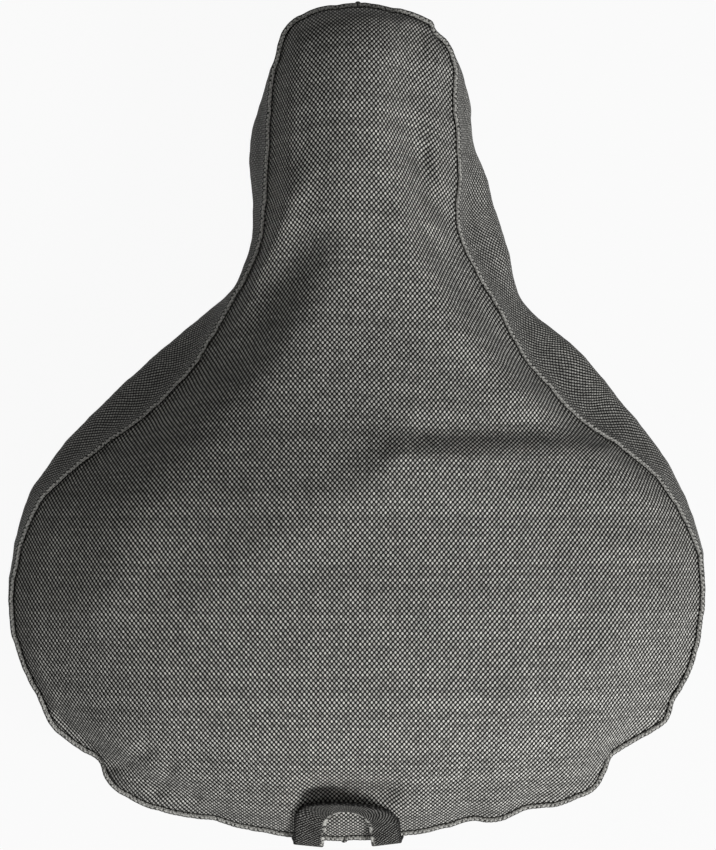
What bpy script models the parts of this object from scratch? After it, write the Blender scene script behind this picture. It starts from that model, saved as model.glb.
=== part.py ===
"""Bike saddle cover: a woven cloth cover with a crowned top panel, two side panels that
meet at the nose and at the rear, an elastic hem and a webbing pull loop at the rear.

Metres, +Z up, +Y towards the nose. The cover stands on its hem at Z = 0, with the
origin under the middle of its length and width."""

import math

import bmesh
import bpy
import numpy as np
from mathutils import Matrix, Vector
from mathutils.bvhtree import BVHTree

MM = 0.001

# Cloth, webbing, thread and the air between neighbours
CLOTH = 0.6 * MM
WEBBING = 1.2 * MM
THREAD_RADIUS = 0.3 * MM
GAP = 0.3 * MM

# Plan size of the top panel, measured along its seam
COVER_LENGTH = 267.4 * MM
COVER_WIDTH = 222.4 * MM

# Heights of the top seam above the hem, and of the top above the seam
NOSE_SEAM_HEIGHT = 53 * MM
WAIST_SEAM_HEIGHT = 45 * MM
WING_SEAM_HEIGHT = 47 * MM
REAR_SEAM_HEIGHT = 50 * MM
NOSE_RISE = 16 * MM
CROWN_RISE = 32 * MM
EDGE_ROLL = 4 * MM
EDGE_ROLL_WIDTH = 9 * MM

# Top seam and hem
SEAM_ALLOWANCE = 7 * MM
SEAM_STITCH_DEPTH = 4 * MM
HEM_INSET = 8 * MM
HEM_CLOSING = 3 * MM
HEM_ALLOWANCE = 3 * MM
ELASTIC_RADIUS = 1.5 * MM

# Pull loop at the rear
LOOP_WIDTH = 9.4 * MM
LOOP_SPAN = 22.6 * MM
LOOP_SPLAY = 1.2 * MM
LOOP_MIDDLE = -2.9 * MM
LOOP_LEG_DROP = 22 * MM
LOOP_BEND_DROP = 1.5 * MM
LOOP_TURN = -0.045
LOOP_LIFT = 1.0 * MM
LOOP_EASE = 0.4 * MM
TACK_LENGTH = 8.6 * MM
TACK_HEIGHT = 2.2 * MM
TACK_THICKNESS = 0.6 * MM

# Mesh steps around the top panel
STEPS_ACROSS = 20
STEPS_ALONG = 26
EDGE_CROWDING = 0.35
CURVE_SAMPLES = 24
SHARP_ANGLE = math.radians(50)
JOIN_THREAD_POINTS = 12
# Shares of the way down the wall, and of the way down a leg of the loop
WALL_SHARES = (0.0, 0.14, 0.26, 0.38, 0.50, 0.62, 0.72)
LEG_SHARES = (1.0, 0.66, 0.33)

# Where, as shares of the way down, the wall leaves the seam's line for the hem's, and
# where its pleats begin and are full
LINE_CHANGE = (0.2, 0.8)
PLEAT_SPAN = (0.1, 0.6)
HEM_SMOOTHING = 24
BELLY_SHARE = 0.44

# The pattern is drafted in millimetres and graded to the plan size above
DRAFT_LENGTH = 267.4
DRAFT_WIDTH = 222.4
GRADE = np.array([COVER_WIDTH / DRAFT_WIDTH, COVER_LENGTH / DRAFT_LENGTH])
CENTRING = np.array([-0.2, -0.12])

# The outline of the top seam, counter-clockwise from above. Each point is (x, y, how far
# the side panel stands out past the seam there).
REAR_LEFT = [
    (-99.5, -92.5, 0.6),
    (-97.3, -96.8, 0.2),
    (-91.5, -101.7, 0.0),
    (-82.6, -107.4, 0.0),
    (-80.6, -112.0, 0.0),
    (-77.6, -116.2, 0.0),
    (-70.0, -120.8, 0.0),
    (-58.6, -124.5, 0.0),
    (-45.6, -126.4, 0.0),
    (-36.0, -129.0, 0.0),
    (-20.5, -131.6, 0.0),
]
REAR_RIGHT = [
    (-3.8, -132.8, 0.0),
    (14.4, -131.4, 0.0),
    (28.0, -129.0, 0.0),
    (36.8, -126.4, 0.0),
    (44.5, -127.0, 0.0),
    (54.7, -123.0, 0.0),
    (65.0, -121.6, 0.0),
    (75.5, -117.2, 0.0),
    (79.6, -111.6, 0.0),
    (82.6, -105.4, 0.0),
    (91.5, -100.2, 0.2),
]
RIGHT_SIDE = [
    (99.4, -94.8, 0.4),
    (102.4, -87.4, 0.3),
    (107.6, -77.8, 0.3),
    (110.8, -64.0, 0.3),
    (111.6, -51.0, 0.4),
    (110.2, -40.0, 1.0),
    (105.6, -29.1, 2.6),
    (97.2, -16.4, 5.4),
    (84.8, -5.8, 8.8),
    (72.2, 2.8, 12.6),
    (61.4, 14.4, 13.2),
    (54.2, 23.0, 12.0),
    (48.3, 34.2, 7.4),
    (44.9, 40.4, 7.0),
    (38.4, 51.6, 11.0),
    (33.4, 64.4, 12.4),
    (33.9, 78.4, 7.2),
    (33.4, 90.6, 3.6),
    (32.2, 104.0, 4.0),
    (32.4, 114.6, 1.2),
    (29.8, 121.4, 0.4),
]
NOSE_RIGHT = [
    (25.6, 126.0, 0.0),
    (23.4, 129.4, 0.0),
    (15.6, 132.3, 0.0),
    (7.7, 133.9, 0.0),
]
NOSE_LEFT = [
    (0.6, 134.6, 0.0),
    (-9.9, 133.5, 0.0),
    (-17.6, 130.9, 0.0),
]
LEFT_SIDE = [
    (-22.7, 126.6, 0.0),
    (-25.6, 118.4, 0.6),
    (-27.8, 108.5, 2.0),
    (-28.6, 97.5, 4.4),
    (-29.2, 86.6, 5.2),
    (-30.0, 73.0, 3.2),
    (-31.0, 62.0, 2.0),
    (-33.6, 53.0, 0.6),
    (-38.3, 44.0, 0.6),
    (-43.8, 34.2, 4.6),
    (-52.8, 19.5, 10.4),
    (-60.2, 11.5, 12.2),
    (-68.5, 3.5, 12.4),
    (-79.7, -4.5, 9.8),
    (-91.6, -13.8, 7.0),
    (-101.4, -23.4, 4.2),
    (-107.5, -36.3, 2.0),
    (-110.8, -52.2, 0.6),
    (-110.6, -64.0, 0.3),
    (-107.4, -75.8, 0.3),
    (-102.6, -86.0, 0.4),
]
STRETCHES = (REAR_LEFT, REAR_RIGHT, RIGHT_SIDE, NOSE_RIGHT, NOSE_LEFT, LEFT_SIDE)

# Where along the cover each seam height holds, from the rear to the nose
SEAM_HEIGHT_AT = (-132.8, -95.0, -30.0, 45.0, 134.6)

# How the top rises from the seam along the middle: (y, share of the full rise)
REAR_RISE = [
    (-132.8, 0.0),
    (-128.0, 0.20),
    (-121.0, 0.42),
    (-110.0, 0.66),
    (-92.0, 0.88),
    (-66.0, 1.0),
    (-36.0, 0.99),
    (-12.0, 0.90),
    (8.0, 0.74),
    (34.0, 0.60),
    (66.0, 0.53),
    (134.6, 0.53),
]
NOSE_RISE_SHARE = [
    (-132.8, 1.06),
    (66.0, 1.06),
    (100.0, 1.06),
    (116.0, 0.94),
    (126.0, 0.68),
    (132.0, 0.30),
    (134.6, 0.0),
]
# The nose's heights take over from the wings' between these two places
NOSE_BEGINS = (40.0, 92.0)

# Powers of the side slopes: a higher one keeps the middle flatter and the edge steeper
WING_CROSS_POWER = 2.5
NOSE_CROSS_POWER = 2.2

# Folds on the top panel: (points of the crest or valley, half width, height)
FOLDS = {
    "left_valley": ([(-13, 70), (-24, 48), (-40, 28), (-56, 4), (-70, -18)], 8.0, -2.6),
    "right_ridge": ([(8, -11), (32, -11), (56, -10), (78, -7), (92, -2)], 7.0, 2.4),
    "right_crease": ([(18, 3), (44, 3), (66, 5)], 7.0, -1.6),
    "nose_dent": ([(26, 100), (27, 88), (25, 76)], 6.0, -2.0),
    "nose_crease": ([(14, 94), (27, 75), (41, 53)], 4.5, -1.6),
    "waist_ridge": ([(24, 50), (44, 28), (64, 9)], 7.0, 2.0),
    "rear_left_gather": ([(-86, -104), (-74, -98), (-60, -94)], 4.5, -1.8),
    "rear_left_fold": ([(-70, -119), (-58, -112), (-46, -106)], 4.0, -1.4),
    "rear_right_gather": ([(82, -104), (72, -98), (60, -95)], 4.5, -1.5),
    "rear_right_fold": ([(38, -125), (34, -116), (30, -108)], 4.0, -1.2),
}
FOLD_FADE = 9 * MM

# Where the top panel rolls out over its seam at the left of the waist: middle, reach
# along the seam, width and overhang
WAIST_ROLL_Y = 49.0
WAIST_ROLL_REACH = 13.0
WAIST_ROLL_WIDTH = 9 * MM
WAIST_ROLL_OUT = 2.0 * MM

# Pleats of the side panels, drawn in above the hem: (x, y, half width, depth)
PLEATS = [
    (-81, -111, 7.0, 2.0),
    (-44, -127, 9.0, 1.4),
    (37, -127, 7.0, 1.6),
    (80, -110, 7.0, 2.0),
    (101, -90, 8.0, 1.2),
    (-101, -90, 8.0, 1.2),
    (-96, -18, 10.0, 1.4),
    (99, -18, 10.0, 1.4),
    (33, 95, 8.0, 1.4),
    (-33, 36, 8.0, 1.2),
]

# The loop's arch from the top of a leg to its middle, as shares of half the span for x
# and of the webbing's width, ahead of the rear seam, for y: outer edge x, y, then inner
LOOP_ARCH = [
    (1.42, 0.70, 0.60, 0.57),
    (1.36, 0.92, 0.57, 0.66),
    (1.18, 1.11, 0.52, 0.77),
    (0.86, 1.20, 0.42, 0.87),
    (0.44, 1.23, 0.22, 0.96),
    (0.0, 1.245, 0.0, 0.98),
]

CLOTH_COLOUR = (0.115, 0.114, 0.107, 1.0)
WEBBING_COLOUR = (0.048, 0.047, 0.043, 1.0)
THREAD_COLOUR = (0.13, 0.13, 0.122, 1.0)
ELASTIC_COLOUR = (0.02, 0.02, 0.02, 1.0)

LAYER = CLOTH + GAP
CASING = 2 * (ELASTIC_RADIUS + GAP) + CLOTH
HEM_STITCH = CLOTH / 2 + CASING + HEM_CLOSING


def clear_scene():
    for ob in list(bpy.data.objects):
        bpy.data.objects.remove(ob, do_unlink=True)


def make_material(name, colour, roughness):
    mat = bpy.data.materials.new(name)
    mat.use_nodes = True
    shader = mat.node_tree.nodes["Principled BSDF"]
    shader.inputs["Base Color"].default_value = colour
    shader.inputs["Roughness"].default_value = roughness
    shader.inputs["Metallic"].default_value = 0.0
    return mat


def smooth_step(value, low, high):
    f = min(max((value - low) / (high - low), 0.0), 1.0)
    return f * f * (3 - 2 * f)


def catmull(points, i, f):
    """Point at share f of the span after point i, on a closed smooth curve."""
    a, b, c, d = (points[(i + k) % len(points)] for k in (-1, 0, 1, 2))
    square = 2 * a - 5 * b + 4 * c - d
    cube = 3 * b - a - 3 * c + d
    return 0.5 * (2 * b + (c - a) * f + square * f**2 + cube * f**3)


def crowded(f):
    """Moves evenly spaced shares towards both ends, where the panel curves most."""
    return (1 - EDGE_CROWDING) * f + EDGE_CROWDING * 0.5 * (1 - math.cos(math.pi * f))


def stretch_samples(points, start, spans, shares):
    """Points at shares of the arc length, from point start on over so many spans."""
    fine = CURVE_SAMPLES
    spots = [catmull(points, start + k // fine, k % fine / fine) for k in range(spans * fine + 1)]
    line = np.array(spots)
    run = np.concatenate([[0], np.cumsum(np.hypot(*np.diff(line[:, :2], axis=0).T))])
    at = np.array(shares) * run[-1]
    return np.stack([np.interp(at, run, line[:, k]) for k in range(3)], 1)


def outline_stations():
    """The closed seam line as rows of x, y and stand out, in metres."""
    points = np.array([p for stretch in STRETCHES for p in stretch])
    points[:, :2] += CENTRING
    points = points * np.array([*GRADE, MM])
    half = STEPS_ACROSS // 2
    first_half = [2 * crowded(k / STEPS_ACROSS) for k in range(half)]
    second_half = [2 * crowded(k / STEPS_ACROSS) - 1 for k in range(half, STEPS_ACROSS)]
    side = [crowded(k / STEPS_ALONG) for k in range(STEPS_ALONG)]
    shares = (first_half, second_half, side, first_half, second_half, side)
    stations, start = [], 0
    for stretch, share in zip(STRETCHES, shares):
        stations.append(stretch_samples(points, start, len(stretch), share))
        start += len(stretch)
    return np.vstack(stations)


def outward_mitres(ring):
    """Steps that move each point of a closed ring out by one unit, square to both its sides."""
    along = np.roll(ring, -1, 0) - ring
    along /= np.linalg.norm(along, axis=1)[:, None]
    after = np.stack([along[:, 1], -along[:, 0]], 1)
    before = np.roll(after, 1, 0)
    mitre = before + after
    return mitre / (mitre * before).sum(1)[:, None]


def hem_ring(seam):
    """The seam line with its scallops evened out, which the hem follows further in."""
    ring = seam.copy()
    for _ in range(HEM_SMOOTHING):
        ring = 0.5 * ring + 0.25 * (np.roll(ring, 1, 0) + np.roll(ring, -1, 0))
    return ring


def framed_stations():
    """Each station of the outline, with its plan place and outward step at the seam and the hem."""
    rows = outline_stations()
    hem = hem_ring(rows[:, :2])
    columns = rows, rows[:, :2], outward_mitres(rows[:, :2]), hem, outward_mitres(hem)
    names = "row", "seam", "seam_out", "hem", "hem_out"
    return [dict(zip(names, values)) for values in zip(*columns)]


def seam_height(y):
    """Height of the top seam above the hem at this place along the cover."""
    places = np.array(SEAM_HEIGHT_AT) * GRADE[1]
    heights = REAR_SEAM_HEIGHT, WING_SEAM_HEIGHT, WING_SEAM_HEIGHT, WAIST_SEAM_HEIGHT, NOSE_SEAM_HEIGHT
    return float(np.interp(y, places, heights))


def pleat_depth(x, y):
    """How far the side panel is drawn in above the hem at this place in plan."""
    total = 0.0
    for pleat_x, pleat_y, width, depth in PLEATS:
        away = math.hypot(x - pleat_x * GRADE[0], y - pleat_y * GRADE[1])
        total += depth * MM * math.exp(-((away / (width * MM)) ** 2))
    return total


def wall_offset(station, share):
    """How far the side panel's wall lies outside the seam, at a share of the way down."""
    x, y, stand_out = station["row"]
    rise = smooth_step(share, 0.0, BELLY_SHARE)
    fall = smooth_step(share, BELLY_SHARE, 1 - HEM_STITCH / seam_height(y))
    drawn = pleat_depth(x, y) * smooth_step(share, *PLEAT_SPAN)
    return stand_out * rise - HEM_INSET * fall - drawn


def wall_line(station, shares):
    """Middle of the wall's cloth as (offset, height), at shares of the way down."""
    top, foot = seam_height(station["row"][1]), CLOTH / 2
    return np.array([(wall_offset(station, s), top + (foot - top) * s) for s in shares])


def shifted(line, distance):
    """The line moved by distance to the right of its run, with mitred corners."""
    steps = np.diff(line, axis=0)
    steps /= np.linalg.norm(steps, axis=1)[:, None]
    right = np.stack([steps[:, 1], -steps[:, 0]], 1)
    before = np.vstack([right[:1], right])
    after = np.vstack([right, right[-1:]])
    mitre = before + after
    mitre /= (mitre * before).sum(1)[:, None]
    return line + distance * mitre


def seam_frame(station):
    """Seam point, direction down the wall and direction inwards, as (offset, height)."""
    line = wall_line(station, [0.0, 0.04])
    down = (line[1] - line[0]) / np.linalg.norm(line[1] - line[0])
    return line[0], down, np.array([down[1], -down[0]])


def side_section(station):
    """Middle of a side panel's cloth: turned-in top edge, folded ridge, wall, hem casing."""
    seam, down, inside = seam_frame(station)
    leg = seam + inside * LAYER
    leg_end = leg + down * SEAM_ALLOWANCE
    fold = seam + inside * LAYER / 2 - down * LAYER / 2
    stitch_share = 1 - HEM_STITCH / seam_height(station["row"][1])
    wall = wall_line(station, [*WALL_SHARES, stitch_share, 1.0])
    turn = wall[-1] + [
        (-CASING, 0.0),
        (-CASING, CASING),
        (-LAYER, HEM_STITCH - CLOTH / 2),
        (-LAYER, HEM_STITCH + HEM_ALLOWANCE),
    ]
    return np.vstack([leg_end, leg, fold, wall, turn])


def placed(station, section):
    """Section points (offset, height) stood upright at a station of the outline."""
    top = seam_height(station["row"][1])
    points = []
    for offset, height in section:
        down = smooth_step(1 - height / top, *LINE_CHANGE)
        at_seam = station["seam"] + offset * station["seam_out"]
        at_hem = station["hem"] + offset * station["hem_out"]
        points.append(Vector((*(at_seam + (at_hem - at_seam) * down), height)))
    return points


def new_object(name, mesh, material, parts):
    mesh.materials.append(material)
    ob = bpy.data.objects.new(name, mesh)
    parts.objects.link(ob)
    return ob


def finished_mesh(name, bm):
    mesh = bpy.data.meshes.new(name)
    bm.to_mesh(mesh)
    bm.free()
    mesh.shade_smooth()
    mesh.set_sharp_from_angle(angle=SHARP_ANGLE)
    return mesh


def loft(name, rings):
    """A closed solid through unlike sections, each an outer side followed by an inner side back."""
    bm = bmesh.new()
    rows = [[bm.verts.new(p) for p in ring] for ring in rings]
    count = len(rows[0])
    for a, b in zip(rows, rows[1:]):
        for k in range(count):
            bm.faces.new((a[k], a[(k + 1) % count], b[(k + 1) % count], b[k]))
    for row in (rows[0], rows[-1]):
        for k in range(count // 2 - 1):
            bm.faces.new((row[k], row[k + 1], row[count - 2 - k], row[count - 1 - k]))
    bmesh.ops.recalc_face_normals(bm, faces=bm.faces)
    return finished_mesh(name, bm)


def tube(name, points, radius, bevel_resolution, closed, material, parts):
    curve = bpy.data.curves.new(name, "CURVE")
    curve.dimensions = "3D"
    spline = curve.splines.new("POLY")
    spline.points.add(len(points) - 1)
    for spot, p in zip(spline.points, points):
        spot.co = (*p, 1)
    spline.use_cyclic_u = closed
    curve.bevel_depth = radius
    curve.bevel_resolution = bevel_resolution
    curve.use_fill_caps = not closed
    curve.materials.append(material)
    ob = bpy.data.objects.new(name, curve)
    parts.objects.link(ob)
    return ob


def side_panel(name, stations, indices, material, parts):
    """One half of the side band, with half a gap of air at each upright join."""
    rings = []
    for i in indices:
        middle = side_section(stations[i])
        outer = placed(stations[i], shifted(middle, -CLOTH / 2))
        inner = placed(stations[i], shifted(middle, CLOTH / 2))
        rings.append(outer + inner[::-1])
    for end, neighbour in ((0, 1), (-1, -2)):
        step = (rings[neighbour][0] - rings[end][0]) * Vector((1, 1, 0))
        rings[end] = [p + step.normalized() * GAP / 2 for p in rings[end]]
    return new_object(name, loft(name, rings), material, parts)


def seam_edge(stations):
    """Outer face of the top panel at its edge, and the end of its turned-down leg."""
    depth = LAYER + CLOTH / 2 + GAP
    edge, leg_end = [], []
    for station in stations:
        seam, down, inside = seam_frame(station)
        start = seam + inside * depth
        first, second = placed(station, np.array([start, start + down * SEAM_ALLOWANCE]))
        edge.append(first)
        leg_end.append(second)
    return np.array(edge), leg_end


def profile_value(profile, y):
    """Smooth value at y of a profile of (drafted y, value) points."""
    ys, values = (np.array(column) for column in zip(*profile))
    places = ys * GRADE[1]
    y = min(max(y, places[0]), places[-1])
    k = min(int(np.searchsorted(places, y, side="right")) - 1, len(places) - 2)
    slopes = np.gradient(values, places)
    h = places[k + 1] - places[k]
    f = (y - places[k]) / h
    value = (2 * f**3 - 3 * f**2 + 1) * values[k] + (3 * f**2 - 2 * f**3) * values[k + 1]
    return value + h * ((f**3 - 2 * f**2 + f) * slopes[k] + (f**3 - f**2) * slopes[k + 1])


def nose_share(y):
    low, high = (place * GRADE[1] for place in NOSE_BEGINS)
    return smooth_step(y, low, high)


def centre_rise(y):
    """Rise of the top above the seam along the middle of the cover."""
    rear = CROWN_RISE * profile_value(REAR_RISE, y)
    nose = NOSE_RISE * profile_value(NOSE_RISE_SHARE, y)
    return rear + (nose - rear) * nose_share(y)


def cross_share(across, y):
    """Share of the middle's rise left at this share of the way to the side."""
    power = WING_CROSS_POWER + (NOSE_CROSS_POWER - WING_CROSS_POWER) * nose_share(y)
    return 1 - abs(across) ** power


def distance_to_line(x, y, points):
    best = math.inf
    for (ax, ay), (bx, by) in zip(points, points[1:]):
        dx, dy = bx - ax, by - ay
        f = min(max(((x - ax) * dx + (y - ay) * dy) / (dx * dx + dy * dy), 0.0), 1.0)
        best = min(best, math.hypot(x - ax - f * dx, y - ay - f * dy))
    return best


def fold_height(x, y):
    """Sum of the folds' heights at a place in plan."""
    draft_x, draft_y = x / GRADE[0], y / GRADE[1]
    total = 0.0
    for points, width, height in FOLDS.values():
        total += height * MM * math.exp(-((distance_to_line(draft_x, draft_y, points) / width) ** 2))
    return total


def edge_distance(across, along, half_width, half_length):
    """Rough distance to the nearest edge, blended smoothly where two edges meet."""
    side = (1 - abs(across)) * half_width
    end = (1 - abs(along)) * half_length
    if min(side, end) <= 0:
        return 0.0
    return (side**-3 + end**-3) ** (-1 / 3)


def top_grid(edge):
    """Rows of points from rear to nose over the top panel, spanned between its four edges."""
    n, m = STEPS_ACROSS, STEPS_ALONG
    loop = np.vstack([edge, edge[:1]])
    rear, right = loop[: n + 1], loop[n : n + m + 1]
    nose, left = loop[n + m : 2 * n + m + 1][::-1], loop[2 * n + m :][::-1]
    rows = []
    for j in range(m + 1):
        v = crowded(j / m)
        row = []
        for i in range(n + 1):
            u = crowded(i / n)
            ruled = (1 - v) * rear[i] + v * nose[i] + (1 - u) * left[j] + u * right[j]
            corners = (1 - u) * ((1 - v) * rear[0] + v * nose[0]) + u * ((1 - v) * rear[n] + v * nose[n])
            row.append(ruled - corners)
        half_width = 0.5 * np.linalg.norm(right[j] - left[j])
        middle_y = row[n // 2][1]
        for i, p in enumerate(row):
            across, along = 2 * crowded(i / n) - 1, 2 * v - 1
            d = edge_distance(across, along, half_width, COVER_LENGTH / 2)
            roll = 1 - (1 - min(d / EDGE_ROLL_WIDTH, 1.0)) ** 2
            fade = smooth_step(d, 0.0, FOLD_FADE)
            p[2] += centre_rise(middle_y) * cross_share(across, middle_y) + EDGE_ROLL * roll
            p[2] += fold_height(p[0], p[1]) * fade
            if across < 0:
                reach = (p[1] / GRADE[1] - WAIST_ROLL_Y) / WAIST_ROLL_REACH
                swell = math.sin(math.pi * min(d / WAIST_ROLL_WIDTH, 1.0))
                p[0] -= WAIST_ROLL_OUT * math.exp(-(reach**2)) * swell
        rows.append(row)
    return rows


def top_panel(stations, material, parts):
    """The crowned panel with its edge turned down inside the ridge, given its thickness inwards."""
    edge, leg_end = seam_edge(stations)
    n, m = STEPS_ACROSS, STEPS_ALONG
    bm = bmesh.new()
    grid = [[bm.verts.new(p) for p in row] for row in top_grid(edge)]
    for j in range(m):
        for i in range(n):
            bm.faces.new((grid[j][i], grid[j][i + 1], grid[j + 1][i + 1], grid[j + 1][i]))
    rim = grid[0][:n] + [row[n] for row in grid[:m]] + grid[m][:0:-1] + [row[0] for row in grid[:0:-1]]
    legs = [bm.verts.new(p) for p in leg_end]
    for k in range(len(rim)):
        following = (k + 1) % len(rim)
        bm.faces.new((rim[k], legs[k], legs[following], rim[following]))
    ob = new_object("top_panel", finished_mesh("top_panel", bm), material, parts)
    shell = ob.modifiers.new("cloth", "SOLIDIFY")
    shell.thickness = CLOTH
    shell.offset = -1
    shell.use_even_offset = True
    return ob


def ring_line(stations, spot):
    """A closed line that keeps one place in the section, given by spot(station)."""
    return [placed(station, [spot(station)])[0] for station in stations]


def elastic_spot(station):
    foot = wall_line(station, [1.0])[0]
    reach = CLOTH / 2 + GAP + ELASTIC_RADIUS
    return foot + np.array([-reach, reach])


def seam_thread_spot(station):
    seam, down, inside = seam_frame(station)
    depth = LAYER + CLOTH / 2 + GAP + CLOTH + GAP + THREAD_RADIUS
    return seam + inside * depth + down * SEAM_STITCH_DEPTH


def hem_thread_spot(station):
    share = 1 - HEM_STITCH / seam_height(station["row"][1])
    return wall_line(station, [share])[0] + np.array([CLOTH / 2 + GAP + THREAD_RADIUS, 0.0])


def join_thread(name, station, material, parts):
    """The thread of an upright join, inside the wall between the top seam and the hem."""
    top = seam_height(station["row"][1])
    low_share = 1 - (HEM_STITCH + HEM_ALLOWANCE + GAP) / top
    high_share = (SEAM_ALLOWANCE + 2 * LAYER) / top
    shares = np.linspace(high_share, low_share, JOIN_THREAD_POINTS)
    line = shifted(wall_line(station, shares), CLOTH / 2 + GAP + THREAD_RADIUS)
    tube(name, placed(station, line), THREAD_RADIUS, 0, False, material, parts)


def surface_of(objects):
    """Evaluated faces of the objects, to lay other pieces on."""
    graph = bpy.context.evaluated_depsgraph_get()
    corners, faces = [], []
    for ob in objects:
        mesh = ob.evaluated_get(graph).to_mesh()
        start = len(corners)
        corners += [ob.matrix_world @ v.co for v in mesh.vertices]
        faces += [[start + i for i in p.vertices] for p in mesh.polygons]
    return BVHTree.FromPolygons(corners, faces)


def above(surface, x, y, lift):
    hit = surface.ray_cast(Vector((x, y, 1.0)), Vector((0, 0, -1)))[0]
    return Vector((x, y, hit.z + lift))


def behind(surface, x, z, lift):
    hit = surface.ray_cast(Vector((x, -1.0, z)), Vector((0, 1, 0)))[0]
    return Vector((x, hit.y - lift, z))


def loop_edges(surface, side):
    """Outer and inner edge of the loop's ribbon, from the foot of one leg to the middle."""
    rear_y = REAR_RIGHT[0][1] * GRADE[1]
    seam_z = seam_height(rear_y)
    clear = GAP + WEBBING / 2
    half = LOOP_SPAN / 2
    edges = []
    for drop in (*(LOOP_LEG_DROP * share for share in LEG_SHARES), LOOP_BEND_DROP):
        splay = LOOP_SPLAY * drop / LOOP_LEG_DROP
        middle = half + splay
        pair = []
        for reach in (middle + LOOP_WIDTH / 2, middle - LOOP_WIDTH / 2):
            x = LOOP_MIDDLE + side * reach
            pair.append(behind(surface, x, seam_z - drop, clear + LOOP_EASE))
        edges.append(pair)
    over = []
    for reach in (half + LOOP_WIDTH / 2, half - LOOP_WIDTH / 2):
        x = LOOP_MIDDLE + side * reach
        wall = behind(surface, x, seam_z - LOOP_BEND_DROP, clear)
        over.append(Vector((x, wall.y, seam_z + LAYER + clear + LOOP_LIFT)))
    edges.append(over)
    for outer_x, outer_y, inner_x, inner_y in LOOP_ARCH:
        pair = []
        for share, ahead in ((inner_x, inner_y), (outer_x, outer_y)):
            x = LOOP_MIDDLE + side * half * share
            y = rear_y + ahead * LOOP_WIDTH + LOOP_TURN * (x - LOOP_MIDDLE)
            pair.append(above(surface, x, y, clear + LOOP_LIFT))
        inner, outer = pair
        flat = (outer - inner).xy.length
        outer.z = max(outer.z, inner.z + math.sqrt(max(LOOP_WIDTH**2 - flat**2, 0.0)))
        edges.append([outer, inner])
    return edges


def rear_loop(surface, material, parts):
    """The pull loop: one ribbon of webbing, up one leg, folded on edge across, and down again."""
    left, right = loop_edges(surface, -1), loop_edges(surface, 1)
    pairs = left + right[-2::-1]
    bm = bmesh.new()
    rows = []
    for outer, inner in pairs:
        rows.append([bm.verts.new(outer.lerp(inner, f)) for f in (0, 0.5, 1)])
    for a, b in zip(rows, rows[1:]):
        for k in range(2):
            bm.faces.new((a[k], b[k], b[k + 1], a[k + 1]))
    bmesh.ops.recalc_face_normals(bm, faces=bm.faces)
    ob = new_object("rear_loop", finished_mesh("rear_loop", bm), material, parts)
    shell = ob.modifiers.new("webbing", "SOLIDIFY")
    shell.thickness = WEBBING
    shell.offset = 0
    shell.use_even_offset = True
    return {"left": left, "right": right}


def bar_tack(name, edges, material, parts):
    """A block of close stitches across the foot of a leg, just off its outer face."""
    (low_outer, low_inner), (high_outer, high_inner) = edges[0], edges[1]
    low, high = low_outer.lerp(low_inner, 0.5), high_outer.lerp(high_inner, 0.5)
    up = (high - low).normalized()
    across = low_outer - low_inner if low_outer.x > low_inner.x else low_inner - low_outer
    away = across.cross(up).normalized()
    across = up.cross(away).normalized()
    centre = low + up * TACK_HEIGHT + away * (WEBBING / 2 + GAP + TACK_THICKNESS / 2)
    bm = bmesh.new()
    bmesh.ops.create_cube(bm, size=1)
    bmesh.ops.scale(bm, vec=(TACK_LENGTH, TACK_THICKNESS, TACK_HEIGHT), verts=bm.verts)
    ob = new_object(name, finished_mesh(name, bm), material, parts)
    turn = Matrix((across, -away, up)).transposed().to_4x4()
    ob.matrix_world = Matrix.Translation(centre) @ turn


def main():
    clear_scene()
    parts = bpy.data.collections.new("bike_saddle_cover")
    bpy.context.scene.collection.children.link(parts)
    cloth = make_material("woven_cloth", CLOTH_COLOUR, 0.9)
    webbing = make_material("webbing", WEBBING_COLOUR, 0.85)
    thread = make_material("thread", THREAD_COLOUR, 0.7)
    rubber = make_material("elastic", ELASTIC_COLOUR, 0.6)

    stations = framed_stations()
    rear_join = STEPS_ACROSS // 2
    nose_join = STEPS_ACROSS + STEPS_ALONG + STEPS_ACROSS // 2
    total = len(stations)
    right_half = range(rear_join, nose_join + 1)
    left_half = [k % total for k in range(nose_join, total + rear_join + 1)]

    top = top_panel(stations, cloth, parts)
    right = side_panel("side_panel_right", stations, right_half, cloth, parts)
    left = side_panel("side_panel_left", stations, left_half, cloth, parts)

    elastic = ring_line(stations, elastic_spot)
    tube("hem_elastic", elastic, ELASTIC_RADIUS, 1, True, rubber, parts)
    for name, spot in (("top_seam_thread", seam_thread_spot), ("hem_thread", hem_thread_spot)):
        tube(name, ring_line(stations, spot), THREAD_RADIUS, 0, True, thread, parts)
    for name, i in (("rear_seam_thread", rear_join), ("nose_seam_thread", nose_join)):
        join_thread(name, stations[i], thread, parts)

    bpy.context.view_layer.update()
    edges = rear_loop(surface_of([top, left, right]), webbing, parts)
    for side in ("left", "right"):
        bar_tack(f"bar_tack_{side}", edges[side], thread, parts)


main()
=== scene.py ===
"""The dressed bike saddle cover: fine woven panels, webbing loop and stitches around the solids.

Metres, +Z up, +Y towards the nose. Outlines and folds are drafted in millimetres, as the solids' are."""

import math

import bmesh
import bpy
import numpy as np
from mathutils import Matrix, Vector
from mathutils.bvhtree import BVHTree


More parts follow.
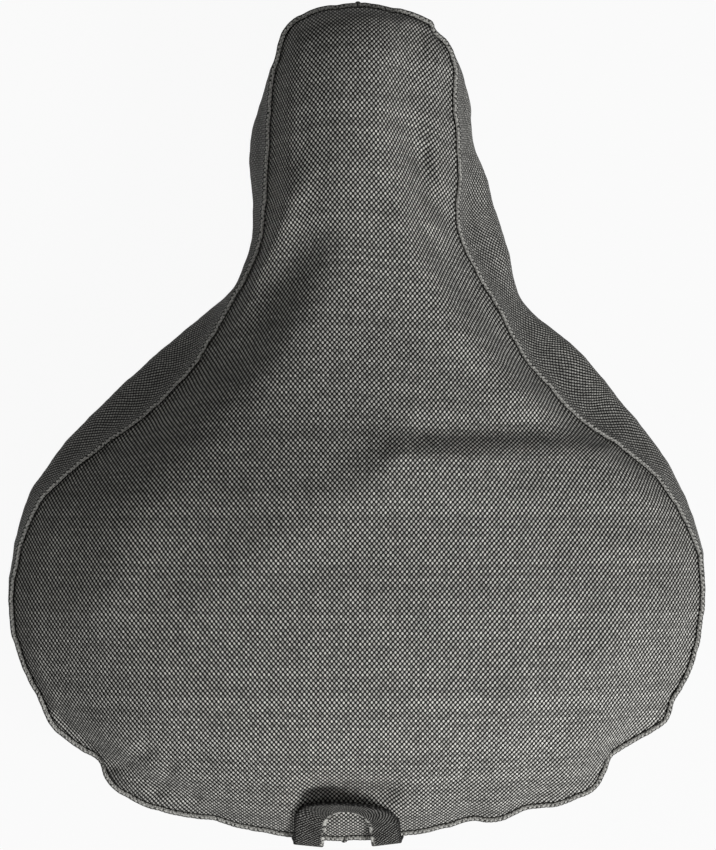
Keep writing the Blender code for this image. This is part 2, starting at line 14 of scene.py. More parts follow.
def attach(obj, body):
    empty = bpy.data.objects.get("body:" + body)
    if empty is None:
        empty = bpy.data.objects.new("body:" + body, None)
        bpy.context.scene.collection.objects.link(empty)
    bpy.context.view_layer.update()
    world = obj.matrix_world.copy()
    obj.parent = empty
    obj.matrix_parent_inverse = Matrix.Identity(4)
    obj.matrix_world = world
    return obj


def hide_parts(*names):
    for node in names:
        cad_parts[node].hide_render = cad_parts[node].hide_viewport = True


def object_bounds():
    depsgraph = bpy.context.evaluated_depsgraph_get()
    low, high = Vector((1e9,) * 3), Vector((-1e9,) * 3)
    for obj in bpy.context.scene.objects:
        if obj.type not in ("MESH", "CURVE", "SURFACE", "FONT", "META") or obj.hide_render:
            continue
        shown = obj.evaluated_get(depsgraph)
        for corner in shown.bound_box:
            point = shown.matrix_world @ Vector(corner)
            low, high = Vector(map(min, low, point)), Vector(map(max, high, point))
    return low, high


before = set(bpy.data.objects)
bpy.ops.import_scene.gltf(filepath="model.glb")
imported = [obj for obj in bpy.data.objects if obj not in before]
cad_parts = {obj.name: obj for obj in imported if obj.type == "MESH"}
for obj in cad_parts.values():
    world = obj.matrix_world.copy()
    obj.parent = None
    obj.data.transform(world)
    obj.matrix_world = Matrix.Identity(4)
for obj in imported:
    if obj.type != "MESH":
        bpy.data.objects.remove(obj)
cad_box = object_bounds()

MM = 0.001

# Cloth, webbing, thread and the air between neighbours
CLOTH = 0.6 * MM
WEBBING = 1.2 * MM
THREAD_RADIUS = 0.3 * MM
GAP = 0.3 * MM

# Heights of the top seam above the hem, and of the top above the seam
NOSE_SEAM_HEIGHT = 53 * MM
WAIST_SEAM_HEIGHT = 45 * MM
WING_SEAM_HEIGHT = 47 * MM
REAR_SEAM_HEIGHT = 50 * MM
NOSE_RISE = 16 * MM
CROWN_RISE = 32 * MM
EDGE_ROLL = 4 * MM
EDGE_ROLL_WIDTH = 9 * MM

# Top seam and hem
SEAM_ALLOWANCE = 7 * MM
SEAM_STITCH_DEPTH = 4 * MM
HEM_INSET = 8 * MM
HEM_CLOSING = 3 * MM
HEM_ALLOWANCE = 3 * MM
ELASTIC_RADIUS = 1.5 * MM
BELLY_SHARE = 0.44
HEM_SMOOTHING = 24
HALF_LENGTH = 133.7 * MM

# Pull loop
LOOP_WIDTH = 9.8 * MM
LOOP_SPAN = 24.9 * MM
LOOP_SPLAY = 1.2 * MM
LOOP_MIDDLE = -2.9 * MM
LOOP_LEG_DROP = 22 * MM
LOOP_TURN = -0.07
LOOP_LIFT = 1.0 * MM
LOOP_EASE = 0.4 * MM
LOOP_BEND_DROP = 1.5 * MM
LEG_SHARES = (1.0, 0.66, 0.33)
TACK_LENGTH = 8.6 * MM
TACK_HEIGHT = 2.2 * MM
TACK_THICKNESS = 0.6 * MM
TACK_TURNS = 22
TACK_BEND = 0.06 * MM
LOOP_EDGE_ANGLES = (0.7, 1.3, 1.84, 2.44)

# Stitches
STITCH_LENGTH = 2.9 * MM
STITCH_SPACE = 0.5 * MM

# The ridges over the two joins, set into the panels' cloth
JOIN_RIDGE = 1.1 * MM
RIDGE_OFFSET = 0.25 * MM
RIDGE_TOP = 0.2 * MM
RIDGE_FOOT = 0.5 * MM
JOIN_POINTS = 60

# Stations around the seam in the solids, and how many finer ones lie on each here
STEPS_ACROSS = 20
STEPS_ALONG = 26
FINER = 8
EDGE_CROWDING = 0.35

CENTRING = np.array([-0.2, -0.12])
REAR_LEFT = [
    (-99.5, -92.5, 0.6), (-97.3, -96.8, 0.2), (-91.5, -101.7, 0.0), (-82.6, -107.4, 0.0),
    (-80.6, -112.0, 0.0), (-77.6, -116.2, 0.0), (-70.0, -120.8, 0.0), (-58.6, -124.5, 0.0),
    (-45.6, -126.4, 0.0), (-36.0, -129.0, 0.0), (-20.5, -131.6, 0.0),
]
REAR_RIGHT = [
    (-3.8, -132.8, 0.0), (14.4, -131.4, 0.0), (28.0, -129.0, 0.0), (36.8, -126.4, 0.0),
    (44.5, -127.0, 0.0), (54.7, -123.0, 0.0), (65.0, -121.6, 0.0), (75.5, -117.2, 0.0),
    (79.6, -111.6, 0.0), (82.6, -105.4, 0.0), (91.5, -100.2, 0.2),
]
RIGHT_SIDE = [
    (99.4, -94.8, 0.4), (102.4, -87.4, 0.3), (107.6, -77.8, 0.3), (110.8, -64.0, 0.3),
    (111.6, -51.0, 1.2), (110.2, -40.0, 2.1), (105.6, -29.1, 4.3), (97.2, -16.4, 7.6),
    (84.8, -5.8, 10.2), (72.2, 2.8, 12.8), (61.4, 14.4, 12.7), (54.2, 23.0, 10.7),
    (48.3, 34.2, 6.4), (44.9, 40.4, 6.0), (38.4, 51.6, 9.3), (33.4, 64.4, 10.1),
    (33.9, 78.4, 7.8), (33.4, 90.6, 5.2), (32.2, 104.0, 5.2), (32.4, 114.6, 2.0),
    (29.8, 121.4, 0.4),
]
NOSE_RIGHT = [
    (25.6, 126.0, 0.0), (23.4, 129.4, 0.0), (15.6, 132.3, 0.0), (7.7, 133.9, 0.0),
]
NOSE_LEFT = [
    (0.6, 134.6, 0.0), (-9.9, 133.5, 0.0), (-17.6, 130.9, 0.0),
]
LEFT_SIDE = [
    (-22.7, 126.6, 0.0), (-25.6, 118.4, 0.6), (-27.8, 108.5, 2.0), (-28.6, 97.5, 4.4),
    (-29.2, 86.6, 4.6), (-30.0, 73.0, 1.8), (-31.0, 62.0, 0.0), (-33.6, 53.0, -0.6),
    (-38.3, 44.0, -0.5), (-43.8, 34.2, 3.2), (-52.8, 19.5, 8.4), (-60.2, 11.5, 9.8),
    (-68.5, 3.5, 10.8), (-79.7, -4.5, 9.9), (-91.6, -13.8, 9.0), (-101.4, -23.4, 6.2),
    (-107.5, -36.3, 3.3), (-110.8, -52.2, 1.8), (-110.6, -64.0, 0.6), (-107.4, -75.8, 0.3),
    (-102.6, -86.0, 0.4),
]
STRETCHES = (REAR_LEFT, REAR_RIGHT, RIGHT_SIDE, NOSE_RIGHT, NOSE_LEFT, LEFT_SIDE)
SEAM_HEIGHT_AT = (-132.8, -95.0, -30.0, 45.0, 134.6)

REAR_RISE = [
    (-132.8, 0.0), (-128.0, 0.20), (-121.0, 0.42), (-110.0, 0.66),
    (-92.0, 0.88), (-66.0, 1.0), (-36.0, 0.99), (-12.0, 0.90),
    (8.0, 0.74), (34.0, 0.60), (66.0, 0.53), (134.6, 0.53),
]
NOSE_RISE_SHARE = [
    (-132.8, 1.06), (66.0, 1.06), (100.0, 1.06), (116.0, 0.94),
    (126.0, 0.68), (132.0, 0.30), (134.6, 0.0),
]
NOSE_BEGINS = (40.0, 92.0)
WING_CROSS_POWER = 2.5
NOSE_CROSS_POWER = 2.2

# Points on each span of the drafted outline
CURVE_SAMPLES = 24

# Shares of the wall's height: where its slope at the seam is read, and where pleats and hem set in
SEAM_SLOPE_SHARE = 0.04
PLEAT_SETS_IN = (0.1, 0.6)
HEM_SETS_IN = (0.2, 0.8)

# Folds on the top panel: (points of the crest or valley, half width, height)
FOLDS = {
    "left_valley": ([(-15.0, 56.8), (-18.6, 50.6), (-25.8, 39.2), (-34.1, 27.7), (-42.4, 20)], 7.0, -1.8),
    "left_valley_end": ([(-42.4, 20), (-53.3, 10.4), (-66.1, -0.1)], 9.0, -0.6),
    "left_waist_ridge": ([(-19.4, 75.1), (-28.4, 55.9), (-36.0, 42.0), (-42.0, 33.0)], 5.0, 1.8),
    "left_shoulder": (
        [(-80.5, -56.1), (-72.5, -33.7), (-58.5, -16.5), (-45.0, 1.0), (-32.0, 17.0), (-20.0, 32.0)],
        12.0,
        1.7,
    ),
    "nose_left_side": ([(-20.5, 120.5), (-21.5, 100.7), (-22.5, 74.0)], 6.0, 1.1),
    "nose_right_side": ([(19.5, 122.5), (21.0, 100.7), (22.5, 72.0)], 6.0, -2.8),
    "nose_dent": ([(14.5, 112.0), (16.5, 98.0), (19.5, 86.0)], 5.0, -1.6),
    "waist_valley_high": ([(13.2, 97.5), (20.3, 82.1), (28, 67.1), (35.6, 53.3), (42.7, 44.7)], 3.4, -1.8),
    "waist_crest_high": ([(24.1, 84.7), (32.4, 70.3), (39.5, 57.5)], 3.0, 1.0),
    "waist_crest_middle": ([(22.8, 68), (33.1, 54.3), (42.7, 43.1)], 3.0, 1.1),
    "waist_valley_low": ([(19.6, 64.8), (29.9, 48.8), (41.1, 36), (49.7, 25.5)], 3.6, -1.9),
    "waist_ridge": (
        [(16.4, 63.9), (24.1, 47.9), (30.5, 36), (38.8, 24.5), (50.7, 11.7), (61.9, 4)],
        6.5,
        2.4,
    ),
    "right_crest": (
        [(13.9, -9.1), (29.9, -9.7), (52.3, -9.1), (71.5, -7.8), (83.6, -8.1), (93.9, -12.6)],
        4.4,
        1.5,
    ),
    "right_swell": ([(9.1, -15.8), (29.9, -15.2), (61.9, -14.2), (84.3, -13.9), (95.5, -19)], 9.0, 1.9),
    "right_valley": ([(21.0, -1.7), (29.9, -1.7), (52.3, -0.8), (71.5, 1.5), (81.1, -0.1)], 4.4, -1.4),
    "centre_crest": ([(9.1, -11.3), (-0.5, -17.7), (-9.2, -26.4), (-21.3, -36), (-37.3, -45.2)], 8.0, 0.8),
    "right_edge_fold": ([(81.1, -39.5), (93.9, -38.8), (108.3, -40.1)], 4.0, 0.8),
    "right_rear_crest": ([(52.3, -84.9), (74.7, -76), (93.9, -60)], 9.0, 0.9),
    "rear_left_groove": (
        [(-95.5, -94.4), (-86.7, -101.4), (-76.0, -108.6), (-66.1, -114.3), (-52.0, -118.6)],
        3.2,
        -2.4,
    ),
    "rear_left_pleat": ([(-80.5, -109.9), (-73.2, -108), (-66.1, -103.5)], 2.2, -1.0),
    "rear_left_pleat_low": ([(-66.1, -120.1), (-61.3, -114.4), (-59.1, -108.6)], 2.2, -1.0),
    "loop_dip": ([(-12.0, -117.2), (-3.0, -116.6), (9.0, -117.0)], 4.5, -3.6),
    "rear_right_groove": ([(52.3, -122), (61.9, -116.3), (74.7, -112.4)], 2.6, -1.2),
    "rear_right_pleat": ([(81.7, -106.4), (76.6, -109.2), (69.9, -109.2)], 2.2, -1.0),
}
FOLD_FADE = 5 * MM
FOLD_GAIN = 1.35

# Small waves of the top seam: (waves around the cover, size, start)
PUCKERS = [(53, 0.10, 1.0), (86, 0.07, 2.2), (137, 0.05, 0.4), (211, 0.03, 3.1)]
RASTER_CELL = 1 * MM
CROWN_SOFTENING = 4 * MM
SOFTENING_REACH = (3 * MM, 12 * MM)
SQUEEZED_BELOW = 0.35
RELAXING_REACH = 3.0
RELAXING_ROUNDS = 5
RELAXING_STEPS = 60
WAIST_ROLL_Y = 49.0
WAIST_ROLL_REACH = 13.0
WAIST_ROLL_WIDTH = 9 * MM
WAIST_ROLL_OUT = 2.0 * MM

# Pleats of the side panels: (x, y, half width, depth)
PLEATS = [
    (-81, -111, 7.0, 2.0), (-44, -127, 9.0, 1.4), (37, -127, 7.0, 1.6), (80, -110, 7.0, 2.0),
    (101, -90, 8.0, 1.2), (-101, -90, 8.0, 1.2), (-96, -18, 10.0, 1.4), (99, -18, 10.0, 1.4),
    (33, 95, 8.0, 1.4), (-33, 36, 8.0, 1.2),
]

# The loop's arch: outer edge x, y, then inner edge x, y, as shares of its half span and its width
LOOP_ARCH = [
    (1.34, 0.75, 0.53, 0.57), (1.28, 0.93, 0.50, 0.68), (1.12, 1.14, 0.45, 0.79), (0.82, 1.27, 0.35, 0.92),
    (0.42, 1.345, 0.19, 1.02), (0.0, 1.37, 0.0, 1.06),
]

# The weave's yarn spacing across and along, as counted on the photograph, and the webbing's
WEAVE_PITCH = (0.735 * MM, 0.88 * MM)
WEBBING_PITCH = (1.2 * MM, 1.4 * MM)
# Width of the painted shade along the webbing's outer edge, where the standing bar turns from the light, and
# of the light stitches by its inner edge
WEBBING_EDGE = 1.5 * MM
YARN_WIDTH = (0.85, 1.0)
YARN_CRIMP = 0.5
YARN_WANDER = 0.9
CLOTH_MIDDLE_Y = -40 * MM
# How far the crossings lean to one diagonal on the left and to the other on the right, painted light for how
# the light falls across the slopes, and over what width
LIGHT_DIAGONAL_LEAN = 0.24
LIGHT_DIAGONAL_REACH = 60 * MM
OVER_EDGE = 0.15
# Yarn heights over which the painted shade of the gaps between yarns fades out
GAP_SHADE_HEIGHTS = (0.3, 0.85)

# Greys of the yarns along and across and of the gaps between them, and the fold's painted highlight. The
# light weft and dark warp are lit and shaded copies of one dark grey yarn, painted sheen and painted shade,
# and the near black gaps are painted shade
CLOTH_LIT_AND_SHADED_GREYS = (0.52, 0.015, 0.004)
# The band's greys are lower than the top's: painted shade of its steep sides, besides the same painted sheen
# and shade of the yarns
BAND_LIT_AND_SHADED_GREYS = (0.45, 0.013, 0.004)
# Grey of the painted highlight along the top of the seam's fold
FOLD_HIGHLIGHT_GREY = 0.50
YARN_RELIEF = 0.12 * MM

# How much the tone varies from crossing to crossing, yarn to yarn and place to place
CROSSING_TONE, YARN_TONE, CLOUD_TONE = 0.45, 0.32, 0.30

# Greys of the webbing's ribs, of the gaps between them and of its light edge stitches
WEBBING_GREYS = (0.25, 0.004, 0.55)
WEBBING_RELIEF = 0.15 * MM
THREAD_COLOUR = (0.16, 0.16, 0.15)
ELASTIC_COLOUR = (0.03, 0.03, 0.03)

# Where the fold along the top seam gets its painted highlight, a light band for the light its top would
# catch, beyond its allowance, and how far and how much
FOLD_HIGHLIGHT_PLACE = 0.9 * MM
FOLD_HIGHLIGHT_REACH = (0.4 * MM, 0.8 * MM)
FOLD_HIGHLIGHT_SHARE = 0.85

# The camera's view at the seam's height, in metres
VIEW_HEIGHT = 272 * MM
VIEW_MIDDLE = (0.44 * MM, -0.12 * MM)
SHARP_HEIGHT = 50 * MM
CAMERA_HEIGHT = 1.9

# Studio light
SKY_LEVEL = 0.11
LAMP_DISTANCE = 1.6
LAMP_SIZE = 0.5
LAMPS = {"rear": (-95.0, 38.0, 3.0), "right": (-37.0, 39.0, 20.5), "top": (-60.0, 80.0, 3.5)}
FLOOR_WHITE_SHARE = 0.94
FLOOR_GREY = 0.35

LAYER = CLOTH + GAP
CASING = 2 * (ELASTIC_RADIUS + GAP) + CLOTH
HEM_STITCH = CLOTH / 2 + CASING + HEM_CLOSING

# The side band's section
WALL_POINTS = 22
LOW_WALL_SHARES = (0.72, 0.45, 0.2)
HEM_EDGE_RADIUS = 0.7 * MM


# Shape of the cover

def smooth_step(value, low, high):
    f = np.clip((value - low) / (high - low), 0.0, 1.0)
    return f * f * (3 - 2 * f)


def catmull(points, at):
    """Points at the given positions, counted in points, on a closed smooth curve."""
    i = np.floor(at).astype(int)
    f = (at - i)[:, None]
    a, b, c, d = (points[(i + k) % len(points)] for k in (-1, 0, 1, 2))
    return 0.5 * (2 * b + (c - a) * f + (2 * a - 5 * b + 4 * c - d) * f**2 + (3 * b - a - 3 * c + d) * f**3)


def crowded(f):
    """Moves evenly spaced shares towards both ends, where the panel curves most."""
    return (1 - EDGE_CROWDING) * f + EDGE_CROWDING * 0.5 * (1 - np.cos(math.pi * f))


def outline_stations(across, along):
    """The closed seam line as rows of x, y and stand out, in metres."""
    points = np.array([p for stretch in STRETCHES for p in stretch])
    points[:, :2] += CENTRING
    points = points * MM
    half = across // 2
    first = 2 * crowded(np.arange(half) / across)
    second = 2 * crowded(np.arange(half, across) / across) - 1
    side = crowded(np.arange(along) / along)
    rows, start = [], 0
    for stretch, shares in zip(STRETCHES, (first, second, side, first, second, side)):
        fine = CURVE_SAMPLES * len(stretch)
        line = catmull(points, start + np.arange(fine + 1) / CURVE_SAMPLES)
        run = np.concatenate([[0], np.cumsum(np.hypot(*np.diff(line[:, :2], axis=0).T))])
        rows.append(np.stack([np.interp(shares * run[-1], run, line[:, k]) for k in range(3)], 1))
        start += len(stretch)
    return np.vstack(rows)


def outward_mitres(ring):
    """Steps that move each point of a closed ring out by one unit, square to both its sides."""
    along = np.roll(ring, -1, 0) - ring
    along /= np.linalg.norm(along, axis=1)[:, None]
    after = np.stack([along[:, 1], -along[:, 0]], 1)
    before = np.roll(after, 1, 0)
    mitre = before + after
    return mitre / (mitre * before).sum(1)[:, None]


def evened(ring, rounds):
    """A closed ring smoothed over a few places each side."""
    for _ in range(rounds):
        ring = 0.5 * ring + 0.25 * (np.roll(ring, 1, 0) + np.roll(ring, -1, 0))
    return ring


def run_along(points):
    """Length of the way from the first point to each point."""
    return np.concatenate([[0], np.cumsum(np.linalg.norm(np.diff(points, axis=0), axis=1))])


def refine_ring(ring, finer):
    """A coarse closed ring with so many places on each of its spans."""
    return catmull(ring, np.arange(len(ring) * finer) / finer)


def seam_height(y):
    places = np.array(SEAM_HEIGHT_AT) * MM
    heights = REAR_SEAM_HEIGHT, WING_SEAM_HEIGHT, WING_SEAM_HEIGHT, WAIST_SEAM_HEIGHT, NOSE_SEAM_HEIGHT
    return np.interp(y, places, heights)


def pleat_depth(x, y):
    total = 0.0
    for pleat_x, pleat_y, width, depth in PLEATS:
        away = np.hypot(x - pleat_x * MM, y - pleat_y * MM)
        total = total + depth * MM * np.exp(-((away / (width * MM)) ** 2))
    return total


class Ring:
    """Every station of the outline, fine, with its plan place and outward step at seam and hem."""

    def __init__(self):
        coarse = outline_stations(STEPS_ACROSS, STEPS_ALONG)
        rows = outline_stations(STEPS_ACROSS * FINER, STEPS_ALONG * FINER)
        self.x, self.y, self.stand_out = rows.T
        self.seam = rows[:, :2]
        self.seam_out = outward_mitres(self.seam)
        self.run = run_along(self.seam)
        whole = self.run[-1] + np.linalg.norm(self.seam[0] - self.seam[-1])
        wave = sum(
            size * np.sin(2 * math.pi * (turns * self.run / whole) + start)
            for turns, size, start in PUCKERS
        )
        self.seam = self.seam + wave[:, None] * MM * self.seam_out
        self.hem = refine_ring(evened(coarse[:, :2], HEM_SMOOTHING), FINER)
        self.hem_out = outward_mitres(self.hem)
        self.top = seam_height(self.y)
        self.pleat = pleat_depth(self.x, self.y)
        self.count = len(rows)

    def wall_offset(self, share):
        """How far the wall lies outside the seam, for a row of shares at every station."""
        share = np.atleast_2d(share)
        rise = smooth_step(share, 0.0, BELLY_SHARE)
        fall = smooth_step(share, BELLY_SHARE, 1 - HEM_STITCH / self.top[:, None])
        drawn = self.pleat[:, None] * smooth_step(share, *PLEAT_SETS_IN)
        return self.stand_out[:, None] * rise - HEM_INSET * fall - drawn

    def wall_line(self, share):
        """Middle of the wall's cloth, as (station, share, (offset, height))."""
        share = np.atleast_2d(share) + np.zeros((self.count, 1))
        foot = CLOTH / 2
        height = self.top[:, None] + (foot - self.top[:, None]) * share
        return np.stack([self.wall_offset(share), height], 2)

    def seam_frame(self):
        line = self.wall_line([0.0, SEAM_SLOPE_SHARE])
        down = line[:, 1] - line[:, 0]
        down /= np.linalg.norm(down, axis=1)[:, None]
        return line[:, 0], down, np.stack([down[:, 1], -down[:, 0]], 1)

    def placed(self, section):
        """Section points (station, point, (offset, height)) stood upright in the cover."""
        offset, height = section[..., 0:1], section[..., 1:2]
        down = smooth_step(1 - height / self.top[:, None, None], *HEM_SETS_IN)
        at_seam = self.seam[:, None] + offset * self.seam_out[:, None]
        at_hem = self.hem[:, None] + offset * self.hem_out[:, None]
        return np.concatenate([at_seam + (at_hem - at_seam) * down, height], 2)


def shifted(lines, distance):
    """Lines moved by distance to the right of their run, with mitred corners."""
    steps = np.diff(lines, axis=1)
    steps /= np.linalg.norm(steps, axis=2)[..., None]
    right = np.stack([steps[..., 1], -steps[..., 0]], 2)
    before = np.concatenate([right[:, :1], right], 1)
    after = np.concatenate([right, right[:, -1:]], 1)
    mitre = before + after
    mitre /= (mitre * before).sum(2)[..., None]
    return lines + distance * mitre


def profile_value(profile, y):
    """Smooth value at y of a profile of (drafted y, value) points."""
    places, values = (np.array(column, float) for column in zip(*profile))
    places = places * MM
    y = np.clip(y, places[0], places[-1])
    k = np.clip(np.searchsorted(places, y, side="right") - 1, 0, len(places) - 2)
    slopes = np.gradient(values, places)
    h = places[k + 1] - places[k]
    f = (y - places[k]) / h
    value = (2 * f**3 - 3 * f**2 + 1) * values[k] + (3 * f**2 - 2 * f**3) * values[k + 1]
    return value + h * ((f**3 - 2 * f**2 + f) * slopes[k] + (f**3 - f**2) * slopes[k + 1])


def nose_share(y):
    return smooth_step(y, NOSE_BEGINS[0] * MM, NOSE_BEGINS[1] * MM)


def centre_rise(y):
    rear = CROWN_RISE * profile_value(REAR_RISE, y)
    nose = NOSE_RISE * profile_value(NOSE_RISE_SHARE, y)
    return rear + (nose - rear) * nose_share(y)


def distance_to_line(x, y, points):
    best = np.full(x.shape, np.inf)
    for (ax, ay), (bx, by) in zip(points, points[1:]):
        dx, dy = bx - ax, by - ay
        f = np.clip(((x - ax) * dx + (y - ay) * dy) / (dx * dx + dy * dy), 0.0, 1.0)
        best = np.minimum(best, np.hypot(x - ax - f * dx, y - ay - f * dy))
    return best


def fold_height(x, y):
    total = np.zeros(x.shape)
    for points, width, height in FOLDS.values():
        total += FOLD_GAIN * height * MM * np.exp(-((distance_to_line(x / MM, y / MM, points) / width) ** 2))
    return total


def blurred(field, radius):
    """A raster smoothed by a Gaussian of this radius in cells, edges held."""
    reach = int(3 * radius) + 1
    weights = np.exp(-0.5 * (np.arange(-reach, reach + 1) / radius) ** 2)
    weights /= weights.sum()
    for axis in (0, 1):
        pad = [(0, 0), (0, 0)]
        pad[axis] = (reach, reach)
        wide = np.pad(field, pad, mode="edge")
        field = np.apply_along_axis(lambda line: np.convolve(line, weights, "valid"), axis, wide)
    return field


class Raster:
    """Heights of a grid of points on square cells, carried on a little way beyond its edge."""

    def __init__(self, grid, margin=6):
        points = grid.reshape(-1, 3)
        self.low = points[:, :2].min(0) - margin * RASTER_CELL
        size = np.ceil((points[:, :2].max(0) + margin * RASTER_CELL - self.low) / RASTER_CELL).astype(int) + 1
        place = (points[:, :2] - self.low) / RASTER_CELL
        self.base = np.floor(place).astype(int)
        self.part = place - self.base
        self.shape = grid.shape[:-1]
        total, count = np.zeros(size), np.zeros(size)
        for spot, weight in self.corners():
            np.add.at(total, spot, weight * points[:, 2])
            np.add.at(count, spot, weight)
        height = np.where(count > 0, total / np.maximum(count, 1e-12), np.nan)
        for _ in range(14):
            total, count = blurred(total, 1.2), blurred(count, 1.2)
            filled = total / np.maximum(count, 1e-12)
            height = np.where(np.isnan(height) & (count > 1e-6), filled, height)
        self.height = np.where(np.isnan(height), np.nanmean(height), height)

    def corners(self):
        for dx in (0, 1):
            for dy in (0, 1):
                weight = abs(1 - dx - self.part[:, 0]) * abs(1 - dy - self.part[:, 1])
                yield (self.base[:, 0] + dx, self.base[:, 1] + dy), weight

    def at_points(self, field):
        return sum(weight * field[spot] for spot, weight in self.corners()).reshape(self.shape)


def relaxed(grid):
    """The grid with its inner points moved to the middle of their neighbours where its cells are squeezed."""
    for _ in range(RELAXING_ROUNDS):
        ahead = grid[1:, :-1, :2] - grid[:-1, :-1, :2]
        aside = grid[:-1, 1:, :2] - grid[:-1, :-1, :2]
        turn = aside[..., 0] * ahead[..., 1] - aside[..., 1] * ahead[..., 0]
        square = turn / (np.linalg.norm(ahead, axis=2) * np.linalg.norm(aside, axis=2))
        share = np.clip(3 * blurred((square < SQUEEZED_BELOW).astype(float), RELAXING_REACH), 0.0, 1.0)
        for _ in range(RELAXING_STEPS):
            middle = (grid[:-2, 1:-1] + grid[2:, 1:-1] + grid[1:-1, :-2] + grid[1:-1, 2:]) / 4
            grid[1:-1, 1:-1] += share[1:, 1:, None] * (middle - grid[1:-1, 1:-1])
    return grid


def top_surface(edge, across_steps, along_steps):
    """Grid of points (row, column, xyz) over the top panel, spanned between its four edges."""
    n, m = across_steps, along_steps
    loop = np.vstack([edge, edge[:1]])
    rear, right = loop[: n + 1], loop[n : n + m + 1]
    nose, left = loop[n + m : 2 * n + m + 1][::-1], loop[2 * n + m :][::-1]
    u = crowded(np.arange(n + 1) / n)[None, :, None]
    v = crowded(np.arange(m + 1) / m)[:, None, None]
    grid = (1 - v) * rear[None] + v * nose[None] + (1 - u) * left[:, None] + u * right[:, None]
    grid -= (1 - u) * ((1 - v) * rear[0] + v * nose[0]) + u * ((1 - v) * rear[n] + v * nose[n])
    grid = relaxed(grid)
    half_width = 0.5 * (right - left)[:, :1]
    across = np.clip((grid[..., 0] - 0.5 * (left + right)[:, :1]) / half_width, -1, 1)
    along = 2 * v[..., 0] - 1
    middle_y = grid[:, n // 2, 1][:, None]
    side = np.maximum((1 - abs(across)) * half_width, 1e-7)
    end = np.maximum((1 - abs(along)) * HALF_LENGTH, 1e-7) + 0 * across
    distance = (side**-3 + end**-3) ** (-1 / 3)
    power = WING_CROSS_POWER + (NOSE_CROSS_POWER - WING_CROSS_POWER) * nose_share(middle_y)
    grid[..., 2] += centre_rise(middle_y) * (1 - abs(across) ** power)
    grid[..., 2] += EDGE_ROLL * (1 - (1 - np.minimum(distance / EDGE_ROLL_WIDTH, 1.0)) ** 2)
    raster = Raster(grid)
    softened = raster.at_points(blurred(raster.height, CROWN_SOFTENING / RASTER_CELL))
    grid[..., 2] += (softened - grid[..., 2]) * smooth_step(distance, *SOFTENING_REACH)
    grid[..., 2] += fold_height(grid[..., 0], grid[..., 1]) * smooth_step(distance, 0.0, FOLD_FADE)
    reach = (grid[..., 1] / MM - WAIST_ROLL_Y) / WAIST_ROLL_REACH
    swell = np.sin(math.pi * np.minimum(distance / WAIST_ROLL_WIDTH, 1.0))
    grid[..., 0] -= WAIST_ROLL_OUT * np.exp(-(reach**2)) * swell * (across < 0)
    return grid


# Meshes

def mesh_object(name, vertices, faces, material):
    mesh = bpy.data.meshes.new(name)
    mesh.from_pydata([tuple(v) for v in vertices], [], [tuple(f) for f in faces])
    mesh.update()
    mesh.materials.append(material)
    mesh.shade_smooth()
    ob = bpy.data.objects.new(name, mesh)
    bpy.context.scene.collection.objects.link(ob)
    return ob


def face_outward(ob):
    """Turns every face of a closed mesh to look outward."""
    bm = bmesh.new()
    bm.from_mesh(ob.data)
    bmesh.ops.recalc_face_normals(bm, faces=bm.faces)
    bm.to_mesh(ob.data)
    bm.free()


def add_uv(ob, spots):
    """A UV map in metres of flat cloth, one place for each vertex."""
    layer = ob.data.uv_layers.new(name="cloth")
    corner = np.zeros(len(ob.data.loops), int)
    ob.data.loops.foreach_get("vertex_index", corner)
    layer.uv.foreach_set("vector", spots[corner].astype(np.float32).ravel())


def cloth_coordinates(grid):
    """Flat cloth place of each grid point: the length of a yarn from the middle to it, both ways."""
    raster = Raster(grid)
    slope_x, slope_y = np.gradient(blurred(raster.height, 1.5), RASTER_CELL)
    spots = []
    for slope, k, middle in ((slope_x, 0, 0.0), (slope_y, 1, CLOTH_MIDDLE_Y)):
        extra = (np.cumsum(np.sqrt(1 + slope**2), k) - np.cumsum(np.ones_like(slope), k)) * RASTER_CELL
        start = int((middle - raster.low[k]) / RASTER_CELL)
        extra = blurred(extra - np.take(extra, [start], k), 2.0)
        spots.append(grid[..., k] + raster.at_points(extra))
    return np.stack(spots, -1).reshape(-1, 2)


def build_top_panel(ring, material):
    depth = LAYER + CLOTH / 2 + GAP
    seam, down, inside = ring.seam_frame()
    start = seam + inside * depth
    leg_share = np.array([0.0, 0.08, 0.3, 0.65, 1.0])
    legs = start[:, None] + down[:, None] * (leg_share * SEAM_ALLOWANCE)[None, :, None]
    legs = ring.placed(legs)
    n, m = STEPS_ACROSS * FINER, STEPS_ALONG * FINER
    grid = top_surface(legs[:, 0], n, m)
    flat = grid.reshape(-1, 3)
    index = np.arange(len(flat)).reshape(m + 1, n + 1)
    faces = np.stack([index[:-1, :-1], index[:-1, 1:], index[1:, 1:], index[1:, :-1]], 2).reshape(-1, 4)
    rim = np.concatenate([index[0, :n], index[:m, n], index[m, :0:-1], index[:0:-1, 0]])
    spots = cloth_coordinates(grid)
    rows, below, vertices = [rim], [], [flat]
    uv = [spots]
    count = len(flat)
    for k in range(1, len(leg_share)):
        vertices.append(legs[:, k])
        rows.append(np.arange(count, count + len(rim)))
        uv.append(spots[rim] + ring.seam_out * leg_share[k] * SEAM_ALLOWANCE)
        count += len(rim)
    for a, b in zip(rows, rows[1:]):
        below.append(np.stack([a, b, np.roll(b, -1), np.roll(a, -1)], 1))
    ob = mesh_object("panel_top", np.vstack(vertices), np.vstack([faces, *below]), material)
    add_uv(ob, np.vstack(uv))
    shell = ob.modifiers.new("cloth", "SOLIDIFY")
    shell.thickness = CLOTH
    shell.offset = -1
    return ob


def arc(start_angle, end_angle, radius, count):
    angles = np.radians(np.linspace(start_angle, end_angle, count))
    return radius * np.stack([np.cos(angles), np.sin(angles)], 1)


